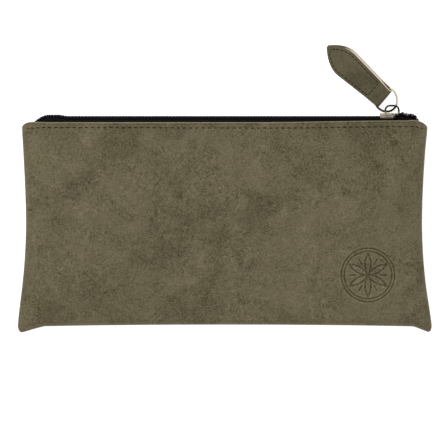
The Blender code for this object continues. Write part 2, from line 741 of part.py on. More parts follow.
def build_slider(metal):
    """The casting: two plates, their flanges, the post between the coils, and the bail."""
    size = (FLANGE_LENGTH, TOP_PLATE, TOP_PLATE_WIDTH)
    body = block("slider_body", size, (0, 0, 0), metal, corner=PLATE_CORNER)
    for vert in body.data.vertices:
        vert.co.x += (FLANGE_LENGTH - SLIDER_LENGTH) / 2
        vert.co.y += PLATE_Y + TOP_PLATE / 2
    body.location = (SLIDER_X, MOUTH_Y, ZIP_Z)
    for name, (size, centre) in slider_blocks().items():
        piece = block(name, size, body.location + Vector(centre), None, cutters)
        boolean(body, piece, "UNION")
    foot, top = PLATE_TOP_Y - OVERRUN, PLATE_TOP_Y + BAIL_HEIGHT
    outer = arch(BAIL_LEFT, BAIL_RIGHT, foot, top, BAIL_BEND)
    inner = arch(
        BAIL_LEFT + BAIL_STRIP, BAIL_RIGHT - BAIL_STRIP, foot, top - BAIL_STRIP, BAIL_BEND - BAIL_STRIP
    )
    bail = flat_outline("bail", [outer + inner[::-1]], BAIL_WIDTH, None, cutters)
    bail.location = body.location
    boolean(body, mesh_of_curve(bail), "UNION")
    return body


# Ring and tab


def ring_point(angle):
    """A point of the D's round side, in the ring's own plane."""
    across, out = math.cos(angle), math.sin(angle)
    x = RING_HALF_WIDTH * math.copysign(abs(across) ** RING_SQUARENESS, across)
    return x, RING_SHOULDER + (RING_DEPTH - RING_SHOULDER) * max(0.0, out) ** RING_SQUARENESS


def ring_outline():
    """The D: its round side, and the two corners of its straight side."""
    points = [ring_point(math.pi * i / RING_POINTS) for i in range(RING_POINTS + 1)]
    near, far = RING_HALF_WIDTH - RING_CORNER, RING_HALF_WIDTH - RING_CORNER / 4
    return [(near, 0.0), (far, RING_CORNER / 3)] + points + [(-far, RING_CORNER / 3), (-near, 0.0)]


def ring_hang():
    """Where the wire passes through the bail's window, from the slider's origin."""
    left, right = BAIL_LEFT + BAIL_STRIP, BAIL_RIGHT - BAIL_STRIP
    window = BAIL_HEIGHT - BAIL_STRIP
    return Vector((left + (right - left) * HANG_X_SHARE, PLATE_TOP_Y + window * HANG_Y_SHARE, 0))


def build_ring(slider, brass):
    """The wire ring, turned on the upright axis through the bail's window."""
    pivot = bpy.data.objects.new("ring_pivot", None)
    parts.objects.link(pivot)
    pivot.parent = slider
    pivot.location = ring_hang()
    points = [(x, y, 0) for x, y in ring_outline()]
    ring = strand("pull_ring", points, brass, WIRE_RADIUS, cyclic=True)
    ring.data.bevel_resolution = 2
    ring.parent = pivot
    ring.rotation_euler = (RING_LEAN, -RING_TILT, RING_AZIMUTH)
    ring.location = -(Euler(ring.rotation_euler).to_matrix() @ Vector((*ring_point(RING_HANG_ANGLE), 0)))
    return ring


def tab_half_width(y):
    """Half the tab's width, from its fold to its pointed end."""
    from_tip = TAB_LENGTH - y
    if from_tip < TAB_LANCET:
        return TAB_HALF_WIDTH * dome(from_tip / TAB_LANCET)
    share = (y + LOOP_RADIUS) / (TAB_LENGTH - TAB_LANCET + LOOP_RADIUS)
    return TAB_FOLD_HALF_WIDTH + (TAB_HALF_WIDTH - TAB_FOLD_HALF_WIDTH) * share


def tab_side(inset, start):
    """One long side of the tab, from the fold to just before the tip."""
    shoulder = TAB_LENGTH - TAB_LANCET
    places = [start, (start + shoulder) / 2]
    places += [shoulder + TAB_LANCET * i / TAB_OUTLINE_POINTS for i in range(TAB_OUTLINE_POINTS)]
    return [(tab_half_width(y) - inset, y) for y in places if tab_half_width(y) > inset]


def tab_outline(inset, start):
    """Closed outline of the slightly slanting tab, or of its stitch line where an inset is given."""
    side = tab_side(inset, start)
    tip = (0.0, TAB_LENGTH - inset)
    outline = side + [tip] + [(-x, y) for x, y in reversed(side)]
    return [(x + TAB_SKEW * max(0.0, y), y) for x, y in outline]


def tab_profile():
    """The folded strip from its side: a round loop that narrows to two flat layers."""
    half = TAB_THICKNESS / 2
    swing = (math.tau - 2 * LOOP_OPENING) / LOOP_STEPS
    loop = [LOOP_OPENING + swing * i for i in range(LOOP_STEPS + 1)]
    bend = [(LOOP_RADIUS * math.cos(angle), LOOP_RADIUS * math.sin(angle)) for angle in loop]
    neck = [(TAB_NECK_LENGTH, -half), (TAB_LENGTH + OVERRUN, -half)]
    return bend + neck + [(y, -z) for y, z in reversed(neck)]


def build_tab(ring, leather, thread):
    """The folded leather tab and its thread, on the ring's straight side."""
    reach = 2 * TAB_HALF_WIDTH + TAB_THICKNESS
    plan = flat_outline("tab_leather", [tab_outline(0.0, -LOOP_RADIUS - OVERRUN)], reach, None, parts)
    tab = mesh_of_curve(plan)
    tab.data.materials.append(leather)
    side = flat_outline("tab_section", [tab_profile(), bore_outline()], reach, None, cutters)
    side = mesh_of_curve(side)
    path = [(x, y, TAB_THICKNESS / 2) for x, y in tab_outline(TAB_STITCH_INSET, TAB_CROSS_STITCH)]
    groove = mesh_of_curve(strand("tab_groove", path, None, TAB_GROOVE_RADIUS, True, cutters))
    stitch = strand("tab_thread", path, thread, cyclic=True)
    fold = bpy.data.objects.new("tab_pivot", None)
    parts.objects.link(fold)
    fold.parent = ring.parent
    fold.location = ring.location
    fold.rotation_euler = (0, -RING_TILT, RING_AZIMUTH)
    for item in (tab, groove, stitch, side):
        item.parent = fold
    side.rotation_euler = (math.pi / 2, 0, math.pi / 2)
    boolean(tab, side, "INTERSECT")
    boolean(tab, groove, "DIFFERENCE")


def bore_outline():
    """The hole of the loop, round the ring's wire."""
    radius = WIRE_RADIUS + TAB_BORE_CLEARANCE
    angles = [math.tau * i / LOOP_STEPS for i in range(LOOP_STEPS)]
    return [(radius * math.cos(angle), radius * math.sin(angle)) for angle in angles]


def build():
    """Makes every part of the case."""
    start_scene()
    leather = finish_material("leather", (0.133, 0.113, 0.066), 0.75)
    tab_leather = finish_material("tab_leather", (0.102, 0.089, 0.051), 0.75)
    lining_cloth = finish_material("lining", (0.030, 0.028, 0.024), 0.85)
    tape_cloth = finish_material("zip_tape", (0.006, 0.005, 0.005), 0.85)
    coil = finish_material("zip_coil", (0.006, 0.005, 0.005), 0.40)
    thread = finish_material("thread", (0.030, 0.024, 0.014), 0.70)
    slider_metal = finish_material("slider_metal", (0.300, 0.260, 0.200), 0.35, 1.0)
    brass = finish_material("brass", (0.560, 0.460, 0.280), 0.30, 1.0)
    build_panels(leather)
    build_linings(lining_cloth)
    build_topstitches(thread)
    build_seam_thread(thread)
    build_zip(tape_cloth, coil)
    slider = build_slider(slider_metal)
    ring = build_ring(slider, brass)
    build_tab(ring, tab_leather, thread)


build()
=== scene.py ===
"""Looks of the zipped pen case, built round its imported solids.

Lengths are metres in the row frame: the case lies on its back panel at z = 0, +X runs along the
zip, +Y points from the bottom seam to the zip, and +Z up through the front panel.
"""

import math

import bpy
import numpy as np
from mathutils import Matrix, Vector, noise
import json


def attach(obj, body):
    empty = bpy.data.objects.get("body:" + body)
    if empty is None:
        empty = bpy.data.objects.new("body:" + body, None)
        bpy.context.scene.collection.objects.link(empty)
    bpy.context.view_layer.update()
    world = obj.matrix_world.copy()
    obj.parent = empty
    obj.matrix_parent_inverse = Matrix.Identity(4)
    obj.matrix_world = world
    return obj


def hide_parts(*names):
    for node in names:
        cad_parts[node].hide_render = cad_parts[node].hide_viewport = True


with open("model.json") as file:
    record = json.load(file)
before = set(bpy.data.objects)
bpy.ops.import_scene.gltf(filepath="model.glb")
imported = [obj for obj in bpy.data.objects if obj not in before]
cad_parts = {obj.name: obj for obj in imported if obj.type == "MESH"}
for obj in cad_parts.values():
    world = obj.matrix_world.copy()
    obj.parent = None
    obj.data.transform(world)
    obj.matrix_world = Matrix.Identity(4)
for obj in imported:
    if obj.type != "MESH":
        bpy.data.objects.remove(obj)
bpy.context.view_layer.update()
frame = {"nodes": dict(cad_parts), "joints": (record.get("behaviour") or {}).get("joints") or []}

# Camera: straight above, at the scale of the photograph
FRAME_WIDTH = 0.2224
FRAME_CENTRE = (-0.00248, 0.00185)
CAMERA_DISTANCE = 3.0
FOCUS_Z = 0.006
SENSOR_MM = 36.0

# Stage: a pale floor that glows a little, a white sky and one soft lamp
FLOOR_SIZE = 6.0
FLOOR_Z = -0.0002
FLOOR_GLOW = 0.6
WHITE = (1.0, 1.0, 1.0, 1.0)
SKY_STRENGTH = 0.82
LAMP_PLACE = (-0.7, 0.75, 1.3)
LAMP_SIZE = 0.9
LAMP_WATTS = 7.0

# Outline and height of the case, as in its solids
MOUTH_Y = 0.0515
CASE_HEIGHT = 0.1026
WAIST_HEIGHT = 0.0526
WAIST_HALF_WIDTH = 0.1002
TOP_FLARE = 0.0026
TOP_FLARE_POWER = 1.6
BOTTOM_FLARE = 0.0050
SIDE_LEAN = 0.00045
SIDE_LEAN_POWER = 4
BOTTOM_BOW = 0.0011
LEFT_EAR_LENGTH, RIGHT_EAR_LENGTH = 0.0140, 0.0100
EAR_DROP = 0.0037
EAR_FADE_HEIGHT = 0.0120
EAR_RADIUS = 0.0030
MOUTH_CORNER = (0.0055, 0.0030)
MOUTH_RISE = 0.0009
MOUTH_RISE_SHARES = (0.15, 0.73)
MOUTH_FALL = 0.0012
MOUTH_FALL_RUN = 0.0080
BOW_POWER, EAR_POWER, CORNER_POWER = 2.2, 1.1, 4
LEATHER = 0.0012
HEM = 0.0016
HEM_DEPTH = 0.0094
CLEARANCE = 0.0003
LEAST_INSET = CLEARANCE / 100
FRONT_HEIGHT = 0.0120
MOUTH_HEIGHT = 0.0114
SEAM_Z = 0.00305
SEAM_RIM = 0.0004
ROLL_WIDTH = 0.0024
ROLL_HEIGHT = 0.00295
MOUTH_ROLL = (0.0009, 0.0006)
SEAM_ALLOWANCE = 0.0070
MOUTH_ALLOWANCE = 0.0022
ALLOWANCE_FADE = 0.0150
ALLOWANCE_WALL = 0.0006
MOUTH_SLOPE_WIDTH = 0.0120
BOTTOM_SLOPE_WIDTH = 0.0260
BOTTOM_Y = MOUTH_Y - CASE_HEIGHT
WAIST_Y = BOTTOM_Y + WAIST_HEIGHT
TOP_HALF_WIDTH = WAIST_HALF_WIDTH + TOP_FLARE
EAR_HALF_WIDTH = WAIST_HALF_WIDTH + BOTTOM_FLARE

# Fine shape of the leather. The crease, fold and mark weights are how dark painted shade makes each line,
# burnish too in the mark's lines, and the rim weight how light a painted highlight makes a mark's rim.
PANEL_STEP = 0.0011
EMBLEM_STEP = 0.00022
ROLL_STEPS = 16
MOUTH_STEPS = 23
CREASE_SHADE, FOLD_SHADE, MARK_SHADE_AND_BURNISH = 0.35, 0.6, 1.7
MARK_RIM_HIGHLIGHT = 0.6
SAG = 0.00022
SAG_LENGTH = 0.030
MOUTH_TUCK = 0.00030
MOUTH_TUCK_END, MOUTH_TUCK_FADE = 0.0950, 0.0080
VALLEY_FILL = (0.00010, 0.00034)
VALLEY_WIDTH = 0.0011
CREASE_INSET = 0.0018
CREASE_DEPTH = 0.00022
CREASE_WIDTH = 0.00035
FOLD_INSET = 0.00108
FOLD_WIDTH = 0.00026
FOLD_DEPTH = 0.00012
STITCH_INSET = 0.0029
STITCH_GROOVE = (0.0005, 0.00020)
STITCH_LINE = (
    (-0.1015, 0.0039), (-0.0960, 0.0034), (-0.0900, 0.0030), (-0.0500, 0.0030), (-0.0200, 0.0032),
    (0.0240, 0.0033), (0.0500, 0.0035), (0.0700, 0.0035), (0.0970, 0.0034), (0.1015, 0.0040),
)

# Round mark pressed into the front: a double ring round a rosette of six petals
EMBLEM = (0.0722, -0.0259)
EMBLEM_MARGIN = 0.0015
EMBLEM_RADIUS = 0.0139
EMBLEM_RING_SHARES = (0.97, 0.86)
EMBLEM_PETAL_SHARE = 0.78
EMBLEM_BAR_SHARES = (0.44, 0.66)
EMBLEM_LINE = 0.00038
EMBLEM_RIM = 0.00075
EMBLEM_DEPTH = 0.00045
PETALS = 6

# Zip, as in its solids, but for finer bends of the tapes and coils that sit 0.2 mm higher over them
TAPE = 0.0005
TAPE_Y = 0.0007
TAPE_INNER = 0.00075
TAPE_LEG_OFFSET = 0.00345
TAPE_LEG_DEPTH = 0.0100
TAPE_END_DEPTH = 0.0048
TAPE_SEAM_GAP = 0.00070
TAPE_BEND = 0.0005
TAPE_BEND_SHARES = ((0.0, 1.5), (0.15, 0.9), (0.5, 0.25), (1.1, 0.05), (2.0, 0.0))
COIL_RADIUS = 0.00085
COIL_GAP = 0.0011
COIL_OFFSET = COIL_GAP / 2 + COIL_RADIUS
COIL_SEAT = 0.0004
TURNED_COIL_SEAT = 0.0005
ZIP_LEFT = 0.0074 - TOP_HALF_WIDTH
ZIP_RIGHT = TOP_HALF_WIDTH - 0.0060
ZIP_LEFT_RUN, ZIP_RIGHT_RUN = 0.0159, 0.0108
ZIP_LEFT_BUMP, ZIP_RIGHT_BUMP = 0.00065, 0.00093
LEFT_DIVE, RIGHT_DIVE = 0.0033, 0.0028
LEFT_SHARES, RIGHT_SHARES = (0.31, 0.60), (0.32, 0.70)
LEFT_POWER, RIGHT_POWER = 1.7, 2.8
TURN = math.radians(70)
TURN_SHARE, TURN_BACK_SHARE, TURN_END_SHARE = 0.30, 0.57, 0.98
TAPE_POINTS = 260
COIL_PITCH = 0.0017
COIL_WIRE = 0.00030
COIL_TURN_POINTS = 14
COIL_SIDES, CORD_SIDES = 8, 10
HEAD_GAP = 0.00040
COIL_CORDS = ((0.0, 0.45), (0.85, 0.42), (1.12, 0.42))
SLIDER_X = ZIP_RIGHT - 0.0131
CLOSING_FADE = 0.0030

# Darker bands of the metal parts, by their place along Y: the slider's bail lies above the first place, its
# flank below the second gets painted shade for the shadow of the mouth, and the ring gets painted shadow
# below the third, where the tab and the bail shade it
BAIL_START = 0.0563
SHADED_START = 0.0534
RING_SHADOW_START = 0.0594
BAND_FADE = 0.0005
BAND_SHARE = 0.97

# Surface of the leather: how close its fine wrinkles lie, how strong they and its pale veins are, how much
# more blue than red and green its dark specks take away, and how dark the painted shade makes its pressed
# lines (burnished too in the mark), its outermost rim where the rolled edge falls away, and the groove under
# the tab's stitches
WRINKLE_RATE = 82.0
WRINKLE_SHARE = 0.045
VEIN_SHARE = 0.25
OLIVE_SHARE = 0.35
PRESS_SHADE = 0.42
RIM_SHADE = 0.055
GROOVE_SHADE = 0.30

# Surface of the coil: where along X it is bent open, and how much more of each turn gets the painted
# highlight there
BENT_START, BENT_END = 0.0850, 0.0870
BENT_HIGHLIGHT = 0.15

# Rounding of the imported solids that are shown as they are
WELD_DISTANCE = 0.00001
BEVEL_SEGMENTS = 3
BEVEL_ANGLE = math.radians(35)
SLIDER_BEVEL = 0.00018

# Stitches. A seat is how far the thread's middle lies below the leather's face, over its radius.
STITCH_POINTS = 9
STITCH_SIDES = 8
STITCH_SINK, STITCH_SINK_POWER = 2.4, 4
STITCH_SWELL, STITCH_THINNING = 1.05, 0.25
TOP_SEAT, TAB_SEAT = 0.7, 0.3
TOP_LINE_END = 0.0018
TOP_LINE_POINTS = 160
THREAD_RADIUS = 0.00023
TAB_THREAD_RADIUS = 0.00032
TOP_PITCH = 0.00310
TOP_DASH_SHARE = 0.68
TAB_PITCH = 0.00215
TAB_DASH_SHARE = 0.52

# Pull tab, as in its solid but a little thinner
TAB_LENGTH = 0.0379
TAB_LANCET = 0.0130
TAB_HALF_WIDTH = 0.0084
TAB_TIP_HALF_WIDTH = 0.00003
TAB_SKEW = 0.043
TAB_FOLD_HALF_WIDTH = 0.0061
TAB_LAYER_THICKNESS = 0.00128
TAB_LOOP_INNER = 0.00082
TAB_LOOP_OUTER = 0.0017
TAB_NECK = 0.0075
TAB_STITCH_INSET = 0.0018
TAB_CROSS_STITCH = 0.0062
TAB_TIP_STITCH = TAB_LENGTH - 1.6 * TAB_STITCH_INSET
TAB_LINE_POINTS = 60
TAB_BEND_START = math.radians(62)
TAB_TIP_POINTS, TAB_STRAIGHT_POINTS, TAB_NECK_POINTS, TAB_BEND_POINTS = 15, 14, 8, 14
TAB_FACE_POINTS, TAB_CUT_POINTS = 17, 7
TAB_CUT_HEIGHT = 0.84
TAB_EDGE_ROUNDING, TAB_EDGE_POWER = 0.16, 12


# Small helpers


def clamp(value):
    """The value, held between 0 and 1."""
    return np.clip(value, 0.0, 1.0)


def smooth_step(value):
    """0 below 0, 1 above 1, and a smooth rise between."""
    t = clamp(value)
    return t * t * (3 - 2 * t)


def dome(value):
    """0 at 0, 1 from 1 on, steep at first and level at the end."""
    return 1 - (1 - clamp(value)) ** 2


def quarter_round(value):
    """The quarter circle that rises from 0 at 0 to 1 at 1."""
    return np.sqrt(1 - (1 - clamp(value)) ** 2)


def line_profile(distance, width):
    """1 on a line, falling softly to 0 beside it."""
    return np.exp(-((distance / width) ** 2))


def grid_object(name, points, material, wrap=False, flip=False, values=None):
    """A smooth quad mesh over a grid of points, closed into a tube where wrap is set."""
    rows, columns = points.shape[:2]
    index = np.arange(rows * columns).reshape(rows, columns)
    if wrap:
        index = np.concatenate([index, index[:, :1]], axis=1)
    corners = [index[:-1, :-1], index[:-1, 1:], index[1:, 1:], index[1:, :-1]]
    quads = np.stack(corners[::-1] if flip else corners, axis=-1).reshape(-1, 4)
    mesh = bpy.data.meshes.new(name)
    mesh.from_pydata(points.reshape(-1, 3).tolist(), [], quads.tolist())
    mesh.shade_smooth()
    for key, value in (values or {}).items():
        layer = mesh.attributes.new(key, "FLOAT", "POINT")
        layer.data.foreach_set("value", np.ascontiguousarray(value, np.float32).ravel())
    item = bpy.data.objects.new(name, mesh)
    bpy.context.scene.collection.objects.link(item)
    mesh.materials.append(material)
    return item


def unit(vectors):
    """The vectors, each brought to length 1."""
    return vectors / np.linalg.norm(vectors, axis=-1, keepdims=True)


def tube_grid(path, radius, sides, up):
    """Grid of points round a path: one ring for each path point. up is the rings' first direction."""
    tangent = unit(np.gradient(path, axis=0))
    first = unit(up - tangent * (up * tangent).sum(-1, keepdims=True))
    second = np.cross(tangent, first)
    angle = np.arange(sides) * math.tau / sides
    cosine, sine = np.cos(angle)[None, :, None], np.sin(angle)[None, :, None]
    ring = first[:, None] * cosine + second[:, None] * sine
    return path[:, None] + ring * np.asarray(radius).reshape(-1, 1, 1)


def join(name, items):
    """Makes one object of several."""
    with bpy.context.temp_override(active_object=items[0], selected_editable_objects=items):
        bpy.ops.object.join()
    items[0].name = name
    return items[0]


# Shape of the panels


def half_width(y):
    """Half the width of the case at a height: a waist with a flare above and below it."""
    above = clamp((y - WAIST_Y) / (MOUTH_Y - WAIST_Y))
    below = clamp((WAIST_Y - y) / WAIST_HEIGHT)
    return WAIST_HALF_WIDTH + TOP_FLARE * above**TOP_FLARE_POWER + BOTTOM_FLARE * below**2


def side_lean(y):
    """How far the case lies to the left at a height: most in the middle, nothing at both ends."""
    from_middle = abs(2 * (y - BOTTOM_Y) / CASE_HEIGHT - 1)
    return SIDE_LEAN * (1 - from_middle**SIDE_LEAN_POWER)


def round_corner(from_side, from_end, width, height):
    """Bends the square corner of the plan onto a rounded one."""
    s, t = clamp(1 - from_side / width), clamp(1 - from_end / height)
    inside = (from_side < width) & (from_end < height)
    side = np.where(inside, width * (1 - s * np.sqrt(1 - t * t / 2)), from_side)
    end = np.where(inside, height * (1 - t * np.sqrt(1 - s * s / 2)), from_end)
    return side, end


def mouth_rise(x):
    """How far the mouth edge rises above its straight line toward the right, before its corner."""
    start, run = (TOP_HALF_WIDTH * share for share in MOUTH_RISE_SHARES)
    fall = smooth_step((x - TOP_HALF_WIDTH + MOUTH_FALL_RUN) / MOUTH_FALL_RUN)
    return MOUTH_RISE * smooth_step((x - start) / run) - MOUTH_FALL * fall


def plan_point(x, y):
    """Places on the plain rectangle, moved to their places on the real outline."""
    from_side = WAIST_HALF_WIDTH - abs(x)
    from_side, above = round_corner(from_side, y - BOTTOM_Y, EAR_RADIUS, EAR_RADIUS)
    from_side, below = round_corner(from_side, MOUTH_Y - y, *MOUTH_CORNER)
    y = np.where(y > WAIST_Y, MOUTH_Y - below, BOTTOM_Y + above)
    real_x = half_width(y) - from_side
    low = clamp(1 - above / EAR_FADE_HEIGHT) ** 2
    bow = BOTTOM_BOW * np.maximum(real_x / EAR_HALF_WIDTH, 0.0) ** BOW_POWER
    ear_length = np.where(x < 0, LEFT_EAR_LENGTH, RIGHT_EAR_LENGTH)
    ear = np.maximum(1 - (EAR_HALF_WIDTH - real_x) / ear_length, 0.0) ** EAR_POWER
    high = smooth_step((y - WAIST_Y) / (MOUTH_Y - WAIST_Y))
    real_x = np.sign(x) * real_x
    real_y = y + mouth_rise(real_x) * high - (bow + EAR_DROP * ear) * low
    return real_x - side_lean(y), real_y


def seam_inset(x, y):
    """Distance from the sewn border, with rounded corners."""
    side = np.maximum(WAIST_HALF_WIDTH - abs(x), LEAST_INSET)
    bottom = np.maximum(y - BOTTOM_Y, LEAST_INSET)
    return (side**-CORNER_POWER + bottom**-CORNER_POWER) ** (-1 / CORNER_POWER)


def border_inset(x, y):
    """Distance from the sewn border, with square corners."""
    return np.minimum(WAIST_HALF_WIDTH - abs(x), y - BOTTOM_Y)


def height_share(y):
    """0 at the bottom seam and 1 at the mouth."""
    return (y - BOTTOM_Y) / CASE_HEIGHT


def front_face(x, y):
    """Height of the front panel's face, without its mouth edge and fine shape."""
    inset = seam_inset(x, y)
    share = height_share(y)
    slope_width = BOTTOM_SLOPE_WIDTH + (MOUTH_SLOPE_WIDTH - BOTTOM_SLOPE_WIDTH) * share**2
    crown = FRONT_HEIGHT + (MOUTH_HEIGHT - FRONT_HEIGHT) * smooth_step(2 * share - 1)
    edge = SEAM_RIM + (ROLL_HEIGHT - SEAM_RIM) * quarter_round(inset / ROLL_WIDTH)
    rise = dome((inset - ROLL_WIDTH) / (slope_width - ROLL_WIDTH))
    return SEAM_Z + edge + (crown - SEAM_Z - ROLL_HEIGHT) * rise


def back_face(x, y):
    """Height of the back panel's face, which is flat away from its rolled edges."""
    edge = SEAM_RIM + (SEAM_Z - SEAM_RIM) * quarter_round(seam_inset(x, y) / ROLL_WIDTH)
    return SEAM_Z - edge


def inside_share(x, y):
    """0 over the turned seam allowance and 1 over the hollow."""
    near_mouth = 1 - smooth_step((MOUTH_Y - y) / ALLOWANCE_FADE)
    allowance = SEAM_ALLOWANCE + (MOUTH_ALLOWANCE - SEAM_ALLOWANCE) * near_mouth
    return smooth_step((border_inset(x, y) - allowance) / ALLOWANCE_WALL)


def inner_heights(x, y):
    """Heights of the back panel's and the front panel's inner sides."""
    wall = np.where(MOUTH_Y - y < HEM_DEPTH, HEM, LEATHER)
    share = inside_share(x, y)
    low, high = SEAM_Z - CLEARANCE / 2, SEAM_Z + CLEARANCE / 2
    low = low + (back_face(x, y) + wall - low) * share
    high = high + (front_face(x, y) - wall - high) * share
    return low, high


def sag(x, y):
    """Slow rise and fall of soft leather, none at the border."""
    flat = np.column_stack([x.ravel(), y.ravel()]) / SAG_LENGTH
    wave = np.array([noise.noise((a, b, 0.0)) for a, b in flat]).reshape(x.shape)
    off_seam = smooth_step(seam_inset(x, y) / SEAM_ALLOWANCE)
    return SAG * wave * off_seam * smooth_step((MOUTH_Y - y) / HEM_DEPTH)


def mouth_tuck(x, y):
    """How far the soft mouth edge sinks along the zip, away from the zip's two ends."""
    near_mouth = 1 - smooth_step((MOUTH_Y - y) / STITCH_INSET)
    return MOUTH_TUCK * near_mouth * smooth_step((MOUTH_TUCK_END - abs(x)) / MOUTH_TUCK_FADE)


def valley_fill(x, y):
    """Leather that rounds out the valley behind the rolled edge, more of it near the mouth."""
    low, high = VALLEY_FILL
    fill = low + (high - low) * height_share(y)
    return fill * line_profile(seam_inset(x, y) - ROLL_WIDTH, VALLEY_WIDTH)


def emblem_distance(x, y):
    """Distance from the nearest line of the pressed mark: two rings, six petals and bars between."""
    x, y = (x - EMBLEM[0]) / EMBLEM_RADIUS, (y - EMBLEM[1]) / EMBLEM_RADIUS
    radius = np.hypot(x, y)
    nearest = np.minimum(*(abs(radius - share) for share in EMBLEM_RING_SHARES))
    low, high = EMBLEM_BAR_SHARES
    for petal in range(PETALS):
        angle = math.tau * petal / PETALS + math.pi / 2
        arc_x, arc_y = EMBLEM_PETAL_SHARE * math.cos(angle), EMBLEM_PETAL_SHARE * math.sin(angle)
        off = abs(np.hypot(x - arc_x, y - arc_y) - EMBLEM_PETAL_SHARE)
        outside = np.maximum(radius - EMBLEM_PETAL_SHARE, 0.0)
        nearest = np.minimum(nearest, np.hypot(off, outside))
        middle = angle + math.pi / PETALS
        forward = x * math.cos(middle) + y * math.sin(middle)
        sideways = y * math.cos(middle) - x * math.sin(middle)
        beyond = np.maximum(forward - high, low - forward)
        nearest = np.minimum(nearest, np.hypot(sideways, np.maximum(beyond, 0.0)))
    return nearest * EMBLEM_RADIUS


def stitch_inset(x):
    """Distance of the stitch line from the mouth edge, a little uneven along the mouth."""
    return np.interp(x, *zip(*STITCH_LINE))


def panel_lines(x, y, off_mark):
    """Depth below the plain face, and how much painted shade darkens each pressed line (burnish too in the
    mark) or a painted highlight lightens each raised rim.
    """
    off_end = smooth_step(seam_inset(x, y) / ROLL_WIDTH)
    from_mouth = MOUTH_Y - y
    roll_width, roll_height = MOUTH_ROLL
    groove_width, groove_depth = STITCH_GROOVE
    off_side = smooth_step((WAIST_HALF_WIDTH - abs(x)) / SEAM_ALLOWANCE)
    crease = line_profile(y - BOTTOM_Y - CREASE_INSET, CREASE_WIDTH) * off_side
    fold = line_profile(from_mouth - FOLD_INSET, FOLD_WIDTH) * off_end
    groove = line_profile(from_mouth - stitch_inset(x), groove_width) * off_end
    mark = line_profile(off_mark, EMBLEM_LINE)
    rim = line_profile(off_mark - EMBLEM_RIM, EMBLEM_LINE)
    depth = roll_height * (1 - quarter_round(from_mouth / roll_width)) * off_end
    depth = depth + CREASE_DEPTH * crease + FOLD_DEPTH * fold + groove_depth * groove + EMBLEM_DEPTH * mark
    # Painted shade in the crease and the fold, painted shade with burnish in the mark's lines, and a painted
    # highlight on the mark's rims
    shading_and_burnish = CREASE_SHADE * crease + FOLD_SHADE * fold + MARK_SHADE_AND_BURNISH * mark - MARK_RIM_HIGHLIGHT * rim
    return depth, np.minimum(shading_and_burnish, 1.0)


def fine_steps(start, end, step, fine, fine_step):
    """Places from start to end, closer together inside the fine stretch."""
    low, high = fine
    runs = []
    for first, last, pitch in ((start, low, step), (low, high, fine_step), (high, end, step)):
        if last > first:
            count = max(1, round((last - first) / pitch))
            runs.append(np.linspace(first, last, count, endpoint=False))
    return np.concatenate(runs + [[end]])


def roll_insets():
    """Places across the rolled edge, close together where it is steep."""
    angle = np.linspace(0, math.pi / 2, ROLL_STEPS + 1)[1:]
    return ROLL_WIDTH * (1 - np.cos(angle))


def panel_grid(marked):
    """Columns and rows of a panel, and which of them lie under its face as turned-in leather."""
    turned = np.array([SEAM_ALLOWANCE, SEAM_ALLOWANCE / 2, CLEARANCE, 0.0])
    edge = np.concatenate([turned, [0.0], roll_insets()[:-1]])
    reach = EMBLEM_RADIUS + EMBLEM_MARGIN if marked else 0.0
    mark_x, mark_y = ((place - reach, place + reach) for place in EMBLEM)
    end = WAIST_HALF_WIDTH - ROLL_WIDTH
    middle_x = fine_steps(-end, end, PANEL_STEP, mark_x, EMBLEM_STEP)
    x = np.concatenate([edge - WAIST_HALF_WIDTH, middle_x, WAIST_HALF_WIDTH - edge[::-1]])
    under_x = np.zeros(len(x), bool)
    under_x[:len(turned)] = under_x[-len(turned):] = True
    hem = np.array([0.0, CLEARANCE, HEM_DEPTH / 2, HEM_DEPTH])
    top = MOUTH_Y - 2 * STITCH_INSET
    middle_y = fine_steps(BOTTOM_Y + ROLL_WIDTH, top, PANEL_STEP, mark_y, EMBLEM_STEP)
    near = MOUTH_Y - np.linspace(2 * STITCH_INSET, 0.0, MOUTH_STEPS + 1)[1:]
    y = np.concatenate([BOTTOM_Y + edge, middle_y, near, MOUTH_Y - hem])
    under_y = np.zeros(len(y), bool)
    under_y[:len(turned)] = True
    hemmed = np.zeros(len(y), bool)
    hemmed[-len(hem):] = True
    return x, y, under_x, under_y, hemmed


def build_panel(name, node, side, material):
    """One leather panel: its face with rolled edges, and its seam allowance and hem turned in."""
    marked = side > 0
    x, y, under_x, under_y, hemmed = panel_grid(marked)
    x, y = np.meshgrid(x, y)
    under = under_x[None, :] | under_y[:, None]
    real_x, real_y = plan_point(x, y)
    off_mark = emblem_distance(real_x, real_y) if marked else np.ones_like(x)
    depth, shading_and_burnish = panel_lines(x, y, off_mark)
    face = front_face(x, y) if marked else back_face(x, y)
    plain = face - side * HEM
    shown = face - side * depth + (sag(x, y) + valley_fill(x, y) if marked else 0.0)
    z = np.where(hemmed[:, None], plain, shown)
    z = np.where(under, SEAM_Z + side * CLEARANCE / 2, z)
    real_y = real_y - mouth_tuck(x, y)
    shading_and_burnish = np.where(under | hemmed[:, None], 0.0, shading_and_burnish)
    values = {"shading_and_burnish": shading_and_burnish, "edge": seam_inset(x, y), "mouth": MOUTH_Y - y}
    points = np.stack([real_x, real_y, z], axis=-1)
    panel = grid_object(name, points, material, flip=not marked, values=values)
    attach(panel, "case")
    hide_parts(node)


# Stitches


def along(path, places):
    """Points at the given lengths along a path of points."""
    steps = np.linalg.norm(np.diff(path, axis=0), axis=1)
    length = np.concatenate([[0.0], np.cumsum(steps)])
    return np.stack([np.interp(places, length, path[:, axis]) for axis in range(3)], axis=-1)


